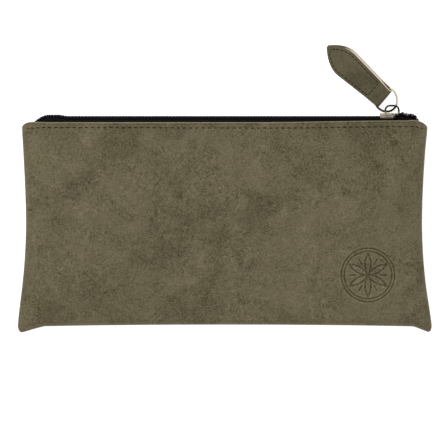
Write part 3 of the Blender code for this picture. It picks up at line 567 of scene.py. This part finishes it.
def build_stitches(name, path, up, radius, pitch, dash_share, material):
    """Single stitches along a path, each one bent down into its two holes."""
    path = np.asarray(path)
    total = np.linalg.norm(np.diff(path, axis=0), axis=1).sum()
    count = int(total / pitch)
    stride = total / count
    share = np.linspace(-0.5, 0.5, STITCH_POINTS)
    toward_end = 2 * abs(share)
    sink = radius * STITCH_SINK * toward_end**STITCH_SINK_POWER
    swell = radius * (STITCH_SWELL - STITCH_THINNING * toward_end**2)
    items = []
    for i in range(count):
        places = (i + 0.5 + share * dash_share) * stride
        points = along(path, places) - np.asarray(up) * sink[:, None]
        rings = tube_grid(points, swell, STITCH_SIDES, np.broadcast_to(up, points.shape))
        items.append(grid_object(f"{name}_{i}", rings, material, wrap=True))
    return join(name, items)


def mouth_path(side):
    """The stitch line along the mouth of one panel, level with its face."""
    end = WAIST_HALF_WIDTH - TOP_LINE_END
    x = np.linspace(-end, end, TOP_LINE_POINTS)
    y = MOUTH_Y - stitch_inset(x)
    face = front_face(x, y) if side > 0 else back_face(x, y)
    real_x, real_y = plan_point(x, y)
    return np.stack([real_x, real_y, face - side * THREAD_RADIUS * TOP_SEAT], axis=-1)


def build_top_stitches(name, node, side, material):
    """Stitches along the mouth of one panel."""
    up = (0.0, 0.0, float(side))
    stitches = build_stitches(name, mouth_path(side), up, THREAD_RADIUS, TOP_PITCH, TOP_DASH_SHARE, material)
    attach(stitches, "case")
    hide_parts(node)


# Zip


def end_shares(x):
    """How far each place is into the zip's left end and its right end."""
    left = (ZIP_LEFT + ZIP_LEFT_RUN - x) / ZIP_LEFT_RUN
    right = (x - ZIP_RIGHT + ZIP_RIGHT_RUN) / ZIP_RIGHT_RUN
    return left, right


def zip_lift(x):
    """How far the zip bulges out of the mouth, or dives into it, at its two ends."""
    left, right = end_shares(x)
    lift = np.zeros_like(x)
    settings = (
        (left, LEFT_SHARES, LEFT_POWER, ZIP_LEFT_BUMP, LEFT_DIVE),
        (right, RIGHT_SHARES, RIGHT_POWER, ZIP_RIGHT_BUMP, RIGHT_DIVE + ZIP_RIGHT_BUMP),
    )
    for share, (rise_share, dive_share), power, bump, drop in settings:
        dive = clamp((share - dive_share) / (1 - dive_share)) ** power
        lift = lift + bump * smooth_step(share / rise_share) - drop * dive
    return lift


def leg_depth(x):
    """How far the tapes reach into the case."""
    left, right = end_shares(x)
    return TAPE_LEG_DEPTH + (TAPE_END_DEPTH - TAPE_LEG_DEPTH) * smooth_step(np.maximum(left, right))


def mouth_room(x, depth):
    """Middle height and half height of the space between the panels, at a depth in the mouth."""
    y = MOUTH_Y - mouth_rise(x) - depth - CLEARANCE
    nominal_x = WAIST_HALF_WIDTH - half_width(y) + abs(x + side_lean(y))
    low, high = inner_heights(nominal_x, y)
    return (low + high) / 2, (high - low) / 2


def zip_middle(x):
    """Height of the plane between the two coils, lower where the mouth narrows."""
    return np.minimum(MOUTH_HEIGHT / 2, mouth_room(x, leg_depth(x))[0])


def tape_leg(x):
    """Distance of a tape's inside leg from the zip's middle, less where the mouth narrows."""
    room = mouth_room(x + np.sign(x) * CLEARANCE, leg_depth(x))[1]
    return np.minimum(TAPE_LEG_OFFSET, room - TAPE_SEAM_GAP - TAPE / 2)


def zip_turn(x):
    """Angle by which a tape's coil edge is turned up and outward, beside the slider's nose."""
    right = end_shares(x)[1]
    back = smooth_step((right - TURN_BACK_SHARE) / (TURN_END_SHARE - TURN_BACK_SHARE))
    return TURN * smooth_step(right / TURN_SHARE) * (1 - back)


def head_point(x, reach):
    """Height and offset of a place on the tape, at a distance from its bend toward the coil edge."""
    turn = zip_turn(x)
    bend_y = MOUTH_Y + TAPE_Y + zip_lift(x)
    return bend_y + reach * np.sin(turn), tape_leg(x) - reach * np.cos(turn)


def build_tape(name, node, side, material):
    """One woven zip tape: flat under the coil, then bent down into the case."""
    x = np.linspace(ZIP_LEFT, ZIP_RIGHT, TAPE_POINTS)
    leg = tape_leg(x)
    rows = [head_point(x, leg - TAPE_INNER)]
    for down, back in TAPE_BEND_SHARES:
        y, offset = head_point(x, TAPE_BEND * back)
        rows.append((y - TAPE_BEND * down, offset))
    rows.append((MOUTH_Y - leg_depth(x), leg))
    middle = zip_middle(x)
    points = np.stack([np.stack([x, y, middle + side * offset], axis=-1) for y, offset in rows])
    tape = grid_object(name, points, material)
    thickness = tape.modifiers.new("thickness", "SOLIDIFY")
    thickness.thickness = TAPE
    thickness.offset = 0
    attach(tape, "case")
    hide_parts(node)


def coil_axis(x, side):
    """Middle line of one coil, with the directions square over its tape and out from the zip."""
    turn = zip_turn(x)
    y, offset = head_point(x, tape_leg(x) - COIL_OFFSET)
    climb = np.gradient(y, x) * np.cos(turn) + np.gradient(offset, x) * np.sin(turn)
    slope = np.arctan(climb)
    over_tape = TAPE / 2 + COIL_SEAT + COIL_RADIUS + (TURNED_COIL_SEAT - COIL_SEAT) * np.sin(turn)
    axis_x = x - over_tape * np.sin(slope)
    y = y + over_tape * np.cos(slope) * np.cos(turn)
    offset = offset + over_tape * np.cos(slope) * np.sin(turn)
    depth = np.maximum(MOUTH_Y + COIL_RADIUS - y, 0.0)
    inside = smooth_step(depth / COIL_RADIUS)
    middle, room = mouth_room(axis_x, depth)
    offset = offset + (np.minimum(offset, room - CLEARANCE - COIL_RADIUS) - offset) * inside
    level = zip_middle(axis_x)
    level = level + (middle - level) * inside
    axis = np.stack([axis_x, y, level + side * offset], axis=-1)
    level_share = np.cos(slope)
    over = np.stack([-np.sin(slope), level_share * np.cos(turn), side * level_share * np.sin(turn)], axis=-1)
    outward = np.stack([np.zeros_like(x), -np.sin(turn), side * np.cos(turn)], axis=-1)
    return axis, over, outward, offset


def build_coil(name, node, side, material):
    """One nylon spiral round its cords, its heads drawn out toward the other's up to the slider."""
    turns = round((ZIP_RIGHT - ZIP_LEFT) / COIL_PITCH)
    share = np.linspace(0, 1, turns * COIL_TURN_POINTS + 1)
    x = ZIP_LEFT + (ZIP_RIGHT - ZIP_LEFT) * share
    axis, over, outward, offset = coil_axis(x, side)
    angle = (math.tau * turns * share + (math.pi if side < 0 else 0.0))[:, None]
    closed = smooth_step((SLIDER_X - x) / CLOSING_FADE)
    round_radius = COIL_RADIUS - COIL_WIRE
    inner = round_radius + (offset - HEAD_GAP - COIL_RADIUS) * closed
    reach = ((round_radius + inner) / 2)[:, None]
    shift = ((inner - round_radius) / 2)[:, None]
    path = axis + over * round_radius * np.cos(angle) + outward * (reach * np.sin(angle) - shift)
    rings = tube_grid(path, COIL_WIRE, COIL_SIDES, over * np.cos(angle) + outward * np.sin(angle))
    crest = side * (rings[..., 2] - axis[:, None, 2]) / COIL_RADIUS
    items = [grid_object(name, rings, material, wrap=True, values={"crest": crest})]
    few = slice(None, None, COIL_TURN_POINTS // 2)
    for number, (low, radius) in enumerate(COIL_CORDS):
        line = axis[few] - over[few] * COIL_RADIUS * low
        cord = tube_grid(line, COIL_RADIUS * radius, CORD_SIDES, over[few])
        items.append(grid_object(f"{name}_{number}", cord, material, wrap=True))
    coil = join(name, items)
    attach(coil, "case")
    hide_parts(node)


# Pull tab, in its own frame on the ring's straight bar


def tab_frame():
    """The bar's place, and the directions across the tab, along it and out of its upper face."""
    fold = next(joint for joint in frame["joints"] if joint["name"] == "tab_fold")
    across = unit(np.array(fold["axis"], float))
    length = unit(np.cross([0.0, 0.0, 1.0], across))
    return np.array(fold["pos_m"], float), np.stack([across, length, np.cross(across, length)])


def in_frame(points):
    """Points of the tab's own frame, placed in the row frame."""
    place, axes = tab_frame()
    return place + points @ axes


def tab_slant(y):
    """How far the tab's middle line drifts sideways along its length."""
    return TAB_SKEW * np.maximum(y, 0.0)


def tab_half_width(y):
    """Half the tab's width, from its fold to its pointed end."""
    share = (y + TAB_LOOP_OUTER) / (TAB_LENGTH - TAB_LANCET + TAB_LOOP_OUTER)
    straight = TAB_FOLD_HALF_WIDTH + (TAB_HALF_WIDTH - TAB_FOLD_HALF_WIDTH) * clamp(share)
    pointed = TAB_HALF_WIDTH * dome((TAB_LENGTH - y) / TAB_LANCET)
    return np.where(y > TAB_LENGTH - TAB_LANCET, pointed, straight)


def tab_path():
    """The folded strip from its side: middle line and half thickness, from tip to tip."""
    layer = TAB_LAYER_THICKNESS / 2
    loop = (TAB_LOOP_INNER + TAB_LOOP_OUTER) / 2
    tip = TAB_LENGTH - TAB_LANCET * (1 - np.cos(np.linspace(0, math.pi / 2, TAB_TIP_POINTS)))
    straight = np.linspace(TAB_LENGTH - TAB_LANCET, TAB_NECK, TAB_STRAIGHT_POINTS)
    y = np.concatenate([tip, straight[1:]])
    z = np.full_like(y, layer)
    angle = np.linspace(TAB_BEND_START, math.pi, TAB_BEND_POINTS)
    bend = np.stack([loop * np.cos(angle), loop * np.sin(angle)], axis=-1)
    start = np.array([y[-1], z[-1]])
    share = np.linspace(0, 1, TAB_NECK_POINTS)[1:-1, None]
    line = start + (bend[0] - start) * share
    neck = line * [1, 0] + (start + (bend[0] - start) * smooth_step(share)) * [0, 1]
    upper = np.concatenate([np.stack([y, z], axis=-1), neck, bend])
    lower = upper[-2::-1] * [1, -1]
    middle = np.concatenate([upper, lower])
    radius = np.hypot(*middle.T)
    thin = (TAB_LOOP_OUTER - TAB_LOOP_INNER) / 2
    half = thin + (layer - thin) * smooth_step((radius - loop) / (TAB_NECK - loop))
    return middle, half


def strip_section():
    """The strip cut across: each point's share of the half width and of the half thickness."""
    across = np.sin(np.linspace(-math.pi / 2, math.pi / 2, TAB_FACE_POINTS))
    cut_levels = np.linspace(-1, 1, TAB_CUT_POINTS)[1:-1] * TAB_CUT_HEIGHT
    points = []
    for side in (1, -1):
        for share in across[::side]:
            points.append((share, side * (1 - TAB_EDGE_ROUNDING * abs(share) ** TAB_EDGE_POWER)))
        points += [(side, -side * level) for level in cut_levels]
    return np.array(points).T


def build_tab(leather, raw_edge):
    """The strip folded round the ring's bar, its two layers sewn together, with raw cut edges."""
    middle, half = tab_path()
    tangent = unit(np.gradient(middle, axis=0))
    normal = np.stack([tangent[:, 1], -tangent[:, 0]], axis=-1)
    width = np.maximum(tab_half_width(middle[:, 0]), TAB_TIP_HALF_WIDTH)
    side_share, level_share = strip_section()
    flat = middle[:, None] + normal[:, None] * (half[:, None] * level_share)[..., None]
    x = width[:, None] * side_share + tab_slant(middle[:, :1])
    points = np.concatenate([x[..., None], flat], axis=-1)
    cut = np.broadcast_to(np.isclose(abs(side_share), 1), x.shape).ravel()
    values = {
        "level": np.broadcast_to(level_share, x.shape),
        "edge": (1 - abs(side_share)) * width[:, None],
        # The tab lies far from the mouth edge, so it gets none of its painted highlight
        "mouth": np.ones_like(x),  # far from the mouth's pale edge
        "along": np.broadcast_to(middle[:, :1] / TAB_LENGTH, x.shape),
    }
    tab = grid_object("tab_strap", in_frame(points), leather, wrap=True, values=values)
    tab.data.materials.append(raw_edge)
    for polygon in tab.data.polygons:
        polygon.material_index = int(cut[list(polygon.vertices)].all())
    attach(tab, "tab")
    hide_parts("tab_leather")


def tab_stitch_paths():
    """The line round the tab's border and the one across it near the fold, in the tab's frame."""
    y = np.linspace(TAB_CROSS_STITCH, TAB_LENGTH - 2 * TAB_STITCH_INSET, TAB_LINE_POINTS)
    x = tab_half_width(y) - TAB_STITCH_INSET
    y, x = y[x > 0], x[x > 0]
    right = np.stack([x, y], axis=-1)
    border = np.concatenate([right, [[0.0, TAB_TIP_STITCH]], right[::-1] * [-1, 1]])
    cross = np.array([[-x[0], TAB_CROSS_STITCH], [x[0], TAB_CROSS_STITCH]])
    for path in (border, cross):
        path[:, 0] += tab_slant(path[:, 1])
    return border, cross


def build_tab_stitches(material):
    """Stitches on both faces of the tab."""
    normal = tab_frame()[1][2]
    items = []
    for side in (1, -1):
        level = side * (TAB_LAYER_THICKNESS - TAB_THREAD_RADIUS * TAB_SEAT)
        up = normal * side
        for number, path in enumerate(tab_stitch_paths()):
            points = in_frame(np.concatenate([path, np.full((len(path), 1), level)], axis=-1))
            name = f"tab_line_{side}_{number}"
            items.append(build_stitches(
                name, points, up, TAB_THREAD_RADIUS, TAB_PITCH, TAB_DASH_SHARE, material
            ))
    stitches = join("tab_stitches", items)
    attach(stitches, "tab")
    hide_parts("tab_thread")


# Materials


def rgb(red, green, blue):
    """An sRGB colour of 0 to 255 as the linear one that nodes take."""
    values = [value / 255 for value in (red, green, blue)]
    return tuple(v / 12.92 if v <= 0.04045 else ((v + 0.055) / 1.055) ** 2.4 for v in values) + (1.0,)


# Colours, matched to the photographed case
LEATHER_SHADES = {
    "dark": rgb(85, 79, 56), "middle": rgb(96, 89, 65), "light": rgb(107, 99, 75), "worn": rgb(109, 95, 79),
}
TAB_SHADES = {
    "dark": rgb(80, 74, 53), "middle": rgb(91, 84, 62), "light": rgb(100, 92, 70), "worn": rgb(92, 84, 66),
}
# Painted highlight on the rolled mouth edge
MOUTH_HIGHLIGHT = rgb(152, 137, 120)
CORE_DEEP, CORE_PALE = rgb(212, 194, 180), rgb(238, 226, 212)
INNER_SKIN, OUTER_SKIN, TIP_EDGE = rgb(120, 88, 74), rgb(104, 92, 70), rgb(78, 72, 54)
THREAD_DEEP, THREAD_PALE = rgb(28, 22, 13), rgb(48, 39, 25)
TAPE_DEEP, TAPE_PALE = rgb(10, 8, 9), rgb(30, 26, 26)
LINING_DEEP, LINING_PALE = rgb(38, 35, 31), rgb(58, 54, 48)
COIL_DEEP, COIL_SCUFFED = rgb(4, 3, 4), rgb(18, 15, 16)
# Painted highlights on top of the coil's turns, brighter where the zip is bent open
COIL_HIGHLIGHT, BENT_COIL_HIGHLIGHT = rgb(56, 53, 53), rgb(122, 119, 120)
SLIDER_DEEP, SLIDER_BRIGHT = rgb(134, 123, 108), rgb(190, 179, 160)
RING_DEEP, RING_BRIGHT = rgb(206, 194, 158), rgb(240, 231, 204)
# Dark colour of the bail, painted shade on the slider's flank under the mouth, and painted shadow on the
# ring's lower part
DARK_BAIL, SHADED_FLANK, RING_SHADOW = rgb(27, 23, 18), rgb(52, 48, 42), rgb(42, 36, 27)
PAPER, PALE_PAPER = rgb(246, 246, 246), rgb(250, 250, 250)


class Shader:
    """A Principled material, and short calls that add nodes to it."""

    def __init__(self, name, **settings):
        self.material = bpy.data.materials.new(name)
        self.material.use_nodes = True
        self.tree = self.material.node_tree
        self.main = self.tree.nodes["Principled BSDF"]
        self.at = self.add("ShaderNodeTexCoord").outputs["Object"]
        for key, value in settings.items():
            self.main.inputs[key.replace("_", " ")].default_value = value

    def feed(self, socket, value):
        """Links a node's output to a socket, or sets the socket to a plain value."""
        if isinstance(value, bpy.types.NodeSocket):
            self.tree.links.new(value, socket)
        else:
            socket.default_value = value

    def add(self, kind, inputs=(), **settings):
        """A new node with its settings, its inputs fed by name or number."""
        node = self.tree.nodes.new(kind)
        for key, value in settings.items():
            setattr(node, key, value)
        for key, value in dict(inputs).items():
            self.feed(node.inputs[key], value)
        return node

    def noise(self, scale, detail=3.0, roughness=0.5, distortion=0.0, stretch=None):
        """Cloudy noise from 0 to 1, its scale per metre, or per axis where stretch is set."""
        at = self.at
        if stretch:
            at = self.add("ShaderNodeMapping", {"Vector": at, "Scale": stretch}).outputs["Vector"]
        inputs = dict(Vector=at, Scale=scale, Detail=detail, Roughness=roughness, Distortion=distortion)
        return self.add("ShaderNodeTexNoise", inputs).outputs["Fac"]

    def wave(self, scale, axis="X", distortion=0.0):
        """Stripes square to an axis, their scale per metre."""
        inputs = {"Vector": self.at, "Scale": scale, "Distortion": distortion}
        return self.add("ShaderNodeTexWave", inputs, bands_direction=axis).outputs["Fac"]

    def place(self, axis):
        """The place along an axis of the row frame, in metres."""
        return self.add("ShaderNodeSeparateXYZ", {"Vector": self.at}).outputs[axis]

    def attribute(self, name):
        """A value that the mesh carries at its points, and 0 where it carries none."""
        return self.add("ShaderNodeAttribute", attribute_name=name).outputs["Fac"]

    def maths(self, operation, a, b=0.0):
        """The result of a math node."""
        return self.add("ShaderNodeMath", {0: a, 1: b}, operation=operation).outputs[0]

    def plus(self, a, b):
        """The sum of two values."""
        return self.maths("ADD", a, b)

    def minus(self, a, b):
        """The first value less the second."""
        return self.maths("SUBTRACT", a, b)

    def times(self, a, b):
        """The product of two values."""
        return self.maths("MULTIPLY", a, b)

    def off(self, a, b):
        """Distance between two values."""
        return self.maths("ABSOLUTE", self.minus(a, b))

    def blend(self, a, b, share):
        """A value made of a share of a and the rest of b."""
        return self.plus(self.times(a, share), self.times(b, 1 - share))

    def spread(self, value, low, high, to_low=0.0, to_high=1.0):
        """Maps low..high of a value to to_low..to_high, and holds it there outside."""
        inputs = {"Value": value, "From Min": low, "From Max": high, "To Min": to_low, "To Max": to_high}
        return self.add("ShaderNodeMapRange", inputs).outputs["Result"]

    def mix(self, share, a, b, blend="MIX"):
        """Colour a with a share of colour b."""
        node = self.add("ShaderNodeMix", data_type="RGBA", blend_type=blend)
        share_socket, a_socket, b_socket, result = 0, 6, 7, 2
        self.feed(node.inputs[share_socket], share)
        self.feed(node.inputs[a_socket], a)
        self.feed(node.inputs[b_socket], b)
        return node.outputs[result]

    def bump(self, height, distance, strength):
        """A normal that shows a value as relief."""
        inputs = {"Height": height, "Distance": distance, "Strength": strength}
        return self.add("ShaderNodeBump", inputs).outputs["Normal"]

    def finish(self, **links):
        """Feeds the material's own inputs, and gives the material."""
        for key, value in links.items():
            self.feed(self.main.inputs[key.replace("_", " ")], value)
        return self.material


def leather_grain(s, contrast):
    """Fine grain of the nubuck, with faint wrinkles in places."""
    fine = s.noise(scale=1400.0, detail=2.0, roughness=0.6)
    coarse = s.noise(scale=640.0, detail=2.0, roughness=0.5)
    grain = s.spread(s.blend(fine, coarse, share=0.74), low=0.0, high=1.0, to_low=0.05, to_high=0.95)
    folds = s.noise(scale=130.0, detail=2.5, roughness=0.45, distortion=0.5)
    wrinkles = s.maths("SINE", s.times(folds, WRINKLE_RATE))
    places = s.noise(scale=75.0, detail=3.0, roughness=0.5, distortion=0.4)
    share = s.spread(places, low=0.46, high=0.60, to_high=WRINKLE_SHARE * contrast)
    return s.plus(grain, s.times(wrinkles, share))


def leather_veins(s):
    """Pale winding lines, in places."""
    winding = s.noise(scale=46.0, detail=4.0, roughness=0.50, distortion=0.8)
    veins = s.spread(s.off(winding, 0.5), low=0.0, high=0.018, to_low=VEIN_SHARE, to_high=0.0)
    return s.times(veins, s.spread(s.noise(scale=52.0, detail=2.0), low=0.42, high=0.58))


def leather_marks(s):
    """How much darker painted shade makes the pressed lines (burnished too in the mark), the outermost rim
    and the groove of the tab's stitches; the mark's rims get a painted highlight.
    """
    shading_and_burnish = s.times(s.attribute("shading_and_burnish"), PRESS_SHADE)
    # Painted shade at the outermost rim, where the rolled edge falls away
    rim = s.spread(s.attribute("edge"), low=0.0004, high=0.0013, to_low=RIM_SHADE, to_high=0.0)
    # Painted shade in the groove under the tab's stitches
    off_stitches = s.off(s.attribute("edge"), TAB_STITCH_INSET)
    groove = s.spread(off_stitches, low=0.0001, high=0.0006, to_low=1.0, to_high=0.0)
    sewn = s.spread(s.attribute("along"), low=0.17, high=0.20, to_high=GROOVE_SHADE)
    return s.plus(s.plus(shading_and_burnish, rim), s.times(groove, sewn))


def leather_material(name, dark, middle, light, worn, rubbed, contrast):
    """Matt olive nubuck: cloudy mottling, fine grain and veins, edges rubbed brown, a painted highlight on
    the rolled mouth edge.
    """
    s = Shader(name, Specular_IOR_Level=0.25, Sheen_Weight=0.06, Sheen_Roughness=0.5)
    clouds = s.noise(scale=38.0, detail=7.0, roughness=0.62, distortion=0.6)
    patches = s.noise(scale=120.0, detail=5.0, roughness=0.60, distortion=0.3)
    tone = s.blend(clouds, patches, share=0.64)
    base = s.mix(s.spread(tone, low=0.42, high=0.50), dark, middle)
    base = s.mix(s.spread(tone, low=0.50, high=0.66), base, light)
    base = s.mix(s.spread(s.noise(scale=60.0), low=0.35, high=0.65, to_high=0.12), base, worn)
    grain = leather_grain(s, contrast)
    rough = s.spread(tone, low=0.40, high=0.60, to_low=1.0, to_high=0.50)
    specks = s.times(s.spread(grain, low=0.30, high=0.70, to_low=-0.5, to_high=0.5), rough)
    shade = s.plus(s.plus(s.times(specks, contrast), 1.0), leather_veins(s))
    shade = s.minus(shade, leather_marks(s))
    blue = s.minus(s.times(shade, 1.0 + OLIVE_SHARE), OLIVE_SHARE)
    tint = s.add("ShaderNodeCombineColor", {"Red": shade, "Green": shade, "Blue": blue}).outputs["Color"]
    colour = s.mix(1.0, base, tint, "MULTIPLY")
    near_edge = s.spread(s.attribute("edge"), low=0.0002, high=0.0026, to_low=1.0, to_high=0.0)
    patchy = s.spread(s.noise(scale=90.0), low=0.38, high=0.60, to_low=0.1, to_high=rubbed)
    colour = s.mix(s.times(near_edge, patchy), colour, worn)
    # Painted highlight along the rolled mouth edge
    rolled = s.spread(s.attribute("mouth"), low=0.00025, high=0.00060, to_low=0.55, to_high=0.0)
    colour = s.mix(rolled, colour, MOUTH_HIGHLIGHT)
    return s.finish(
        Base_Color=colour,
        Roughness=s.spread(grain, low=0.3, high=0.7, to_low=0.78, to_high=0.92),
        Normal=s.bump(grain, distance=0.00012, strength=0.55),
    )


def raw_edge_material():
    """Cut edge of the leather: a pale core between its skins, left olive toward the tab's tip."""
    s = Shader("raw_edge", Specular_IOR_Level=0.2)
    level = s.attribute("level")
    fibres = s.noise(scale=2600.0, detail=3.0, roughness=0.6)
    core = s.mix(s.spread(fibres, low=0.35, high=0.65), CORE_DEEP, CORE_PALE)
    inner_skin = s.spread(level, low=-0.80, high=-0.55, to_low=1.0, to_high=0.0)
    colour = s.mix(inner_skin, core, INNER_SKIN)
    colour = s.mix(s.spread(level, low=0.78, high=0.90), colour, OUTER_SKIN)
    colour = s.mix(s.spread(s.attribute("along"), low=0.68, high=0.82), colour, TIP_EDGE)
    return s.finish(
        Base_Color=colour,
        Roughness=s.spread(fibres, low=0.3, high=0.7, to_low=0.7, to_high=0.95),
        Normal=s.bump(fibres, distance=0.0001, strength=0.5),
    )


def thread_material(name, colour, pale):
    """Twisted thread: slanted plies with pale fuzz."""
    s = Shader(name, Specular_IOR_Level=0.08)
    plies = s.wave(scale=900.0, axis="DIAGONAL", distortion=0.6)
    fuzz = s.noise(scale=5200.0, detail=2.0)
    base = s.mix(s.spread(plies, low=0.2, high=0.8), colour, pale)
    base = s.mix(s.spread(fuzz, low=0.4, high=0.8, to_high=0.4), base, pale)
    return s.finish(
        Base_Color=base,
        Roughness=s.spread(fuzz, low=0.3, high=0.7, to_low=0.6, to_high=0.8),
        Normal=s.bump(plies, distance=0.00006, strength=0.7),
    )


def woven_material(name, deep, pale, specular, ribs, picks, roughness, relief):
    """Plain weave: ribs counted along Y, picks along X, each a scale per metre and a distortion."""
    s = Shader(name, Specular_IOR_Level=specular)
    weave = s.times(s.wave(ribs[0], "Y", ribs[1]), s.wave(picks[0], "X", picks[1]))
    return s.finish(
        Base_Color=s.mix(weave, deep, pale),
        Roughness=s.spread(weave, 0.0, 1.0, *roughness),
        Normal=s.bump(weave, distance=0.0001, strength=relief),
    )


def coil_material():
    """Black nylon with a faint painted highlight on top of each turn, more of it where the zip is bent open.
    """
    s = Shader("coil_nylon", Specular_IOR_Level=0.10)
    scuffs = s.noise(scale=900.0, detail=4.0, roughness=0.6)
    colour = s.mix(scuffs, COIL_DEEP, COIL_SCUFFED)
    bent = s.spread(s.place("X"), low=BENT_START, high=BENT_END)
    # Painted highlight on top of each turn, wider where the zip is bent open
    turn_highlight = s.mix(bent, COIL_HIGHLIGHT, BENT_COIL_HIGHLIGHT)
    crest = s.plus(s.attribute("crest"), s.times(bent, BENT_HIGHLIGHT))
    colour = s.mix(s.spread(crest, low=0.72, high=0.98), colour, turn_highlight)
    return s.finish(
        Base_Color=colour,
        Roughness=s.spread(scuffs, low=0.3, high=0.7, to_low=0.4, to_high=0.6),
        Normal=s.bump(scuffs, distance=0.00003, strength=0.3),
    )


def metal_material(name, deep, bright, bands):
    """Plated brass with a fine tarnish. A band fades in between two places along Y, in its own colour."""
    s = Shader(name, Metallic=1.0)
    tarnish = s.noise(scale=420.0, detail=5.0, roughness=0.62)
    scratches = s.noise(scale=700.0, detail=2.0, stretch=(1.0, 0.12, 1.0))
    colour = s.mix(s.spread(tarnish, low=0.35, high=0.65), deep, bright)
    for start, end, shade in bands:
        colour = s.mix(s.spread(s.place("Y"), start, end, to_high=BAND_SHARE), colour, shade)
    return s.finish(
        Base_Color=colour,
        Roughness=s.spread(scratches, low=0.3, high=0.7, to_low=0.22, to_high=0.42),
        Normal=s.bump(scratches, distance=0.00002, strength=0.35),
    )


def dress_node(node, material, smooth=0, bevel=0.0):
    """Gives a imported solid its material, and softens its edges or facets."""
    item = frame["nodes"][node]
    item.data.materials.clear()
    item.data.materials.append(material)
    if smooth or bevel:
        weld = item.modifiers.new("weld", "WELD")
        weld.merge_threshold = WELD_DISTANCE
    if bevel:
        edge = item.modifiers.new("soft_edges", "BEVEL")
        edge.width = bevel
        edge.segments = BEVEL_SEGMENTS
        edge.limit_method = "ANGLE"
        edge.angle_limit = BEVEL_ANGLE
    if smooth:
        level = item.modifiers.new("smooth", "SUBSURF")
        level.levels = level.render_levels = smooth


# Stage


def build_floor():
    """A pale paper floor that glows a little, so that it stays white under the case's soft shadow."""
    bpy.ops.mesh.primitive_plane_add(size=FLOOR_SIZE, location=(0, 0, FLOOR_Z))
    floor = bpy.context.object
    floor.name = "floor"
    paper = Shader("floor_paper", Roughness=0.9, Specular_IOR_Level=0.1)
    paper.main.inputs["Emission Color"].default_value = WHITE
    paper.main.inputs["Emission Strength"].default_value = FLOOR_GLOW
    tone = paper.mix(paper.noise(scale=40.0, detail=4.0), PAPER, PALE_PAPER)
    floor.data.materials.append(paper.finish(Base_Color=tone))


def build_light():
    """Soft light from all round, and one soft lamp up on the left."""
    world = bpy.data.worlds.new("studio")
    world.use_nodes = True
    sky = world.node_tree.nodes["Background"]
    sky.inputs["Color"].default_value = WHITE
    sky.inputs["Strength"].default_value = SKY_STRENGTH
    bpy.context.scene.world = world
    disk = bpy.data.lights.new("key", "AREA")
    disk.shape = "DISK"
    disk.size = LAMP_SIZE
    disk.energy = LAMP_WATTS
    lamp = bpy.data.objects.new("key", disk)
    lamp.location = LAMP_PLACE
    lamp.rotation_euler = (-Vector(LAMP_PLACE)).to_track_quat("-Z", "Y").to_euler()
    bpy.context.scene.collection.objects.link(lamp)


def build_camera():
    """A camera straight above that shows the photograph's frame at the focus height."""
    lens = bpy.data.cameras.new("camera")
    lens.sensor_width = SENSOR_MM
    lens.lens = SENSOR_MM * CAMERA_DISTANCE / FRAME_WIDTH
    camera = bpy.data.objects.new("camera", lens)
    camera.location = (*FRAME_CENTRE, FOCUS_Z + CAMERA_DISTANCE)
    bpy.context.scene.collection.objects.link(camera)
    bpy.context.scene.camera = camera
    bpy.context.scene.view_settings.view_transform = "Standard"


# The whole case


def build_metal():
    """The slider and the ring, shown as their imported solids."""
    bail = (BAIL_START, BAIL_START + BAND_FADE, DARK_BAIL)
    flank = (SHADED_START + BAND_FADE, SHADED_START, SHADED_FLANK)
    slider = metal_material("slider_brass", SLIDER_DEEP, SLIDER_BRIGHT, (bail, flank))
    dress_node("slider_body", slider, bevel=SLIDER_BEVEL)
    # Painted shadow on the ring's lower part, where the tab and the bail shade it
    ring_shadow_band = (RING_SHADOW_START + 2 * BAND_FADE, RING_SHADOW_START, RING_SHADOW)
    ring = metal_material("ring_brass", RING_DEEP, RING_BRIGHT, (ring_shadow_band,))
    dress_node("pull_ring", ring, smooth=1)


def build():
    """Builds the stage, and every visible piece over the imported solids."""
    build_floor()
    build_light()
    build_camera()
    leather = leather_material("olive_nubuck", rubbed=0.5, contrast=1.6, **LEATHER_SHADES)
    tab_leather = leather_material("tab_nubuck", rubbed=0.4, contrast=1.0, **TAB_SHADES)
    thread = thread_material("stitch_thread", THREAD_DEEP, THREAD_PALE)
    tape = woven_material(
        "tape_weave", TAPE_DEEP, TAPE_PALE,
        specular=0.06, ribs=(620.0, 0.2), picks=(700.0, 0.2), roughness=(0.75, 0.9), relief=0.6,
    )
    lining = woven_material(
        "lining_cotton", LINING_DEEP, LINING_PALE,
        specular=0.2, ribs=(420.0, 0.3), picks=(420.0, 0.3), roughness=(0.8, 0.95), relief=0.5,
    )
    coil = coil_material()
    for word, side in (("front", 1), ("back", -1)):
        build_panel(f"{word}_leather", f"{word}_panel", side, leather)
        build_top_stitches(f"{word}_stitches", f"topstitch_{word}", side, thread)
        build_tape(f"{word}_tape", f"zip_tape_{word}", side, tape)
        build_coil(f"{word}_spiral", f"zip_coil_{word}", side, coil)
        dress_node(f"{word}_lining", lining)
    build_tab(tab_leather, raw_edge_material())
    build_tab_stitches(thread)
    build_metal()
    dress_node("seam_thread", thread)
    for node in ("zip_tack_left", "zip_tack_right"):
        dress_node(node, tape)


build()
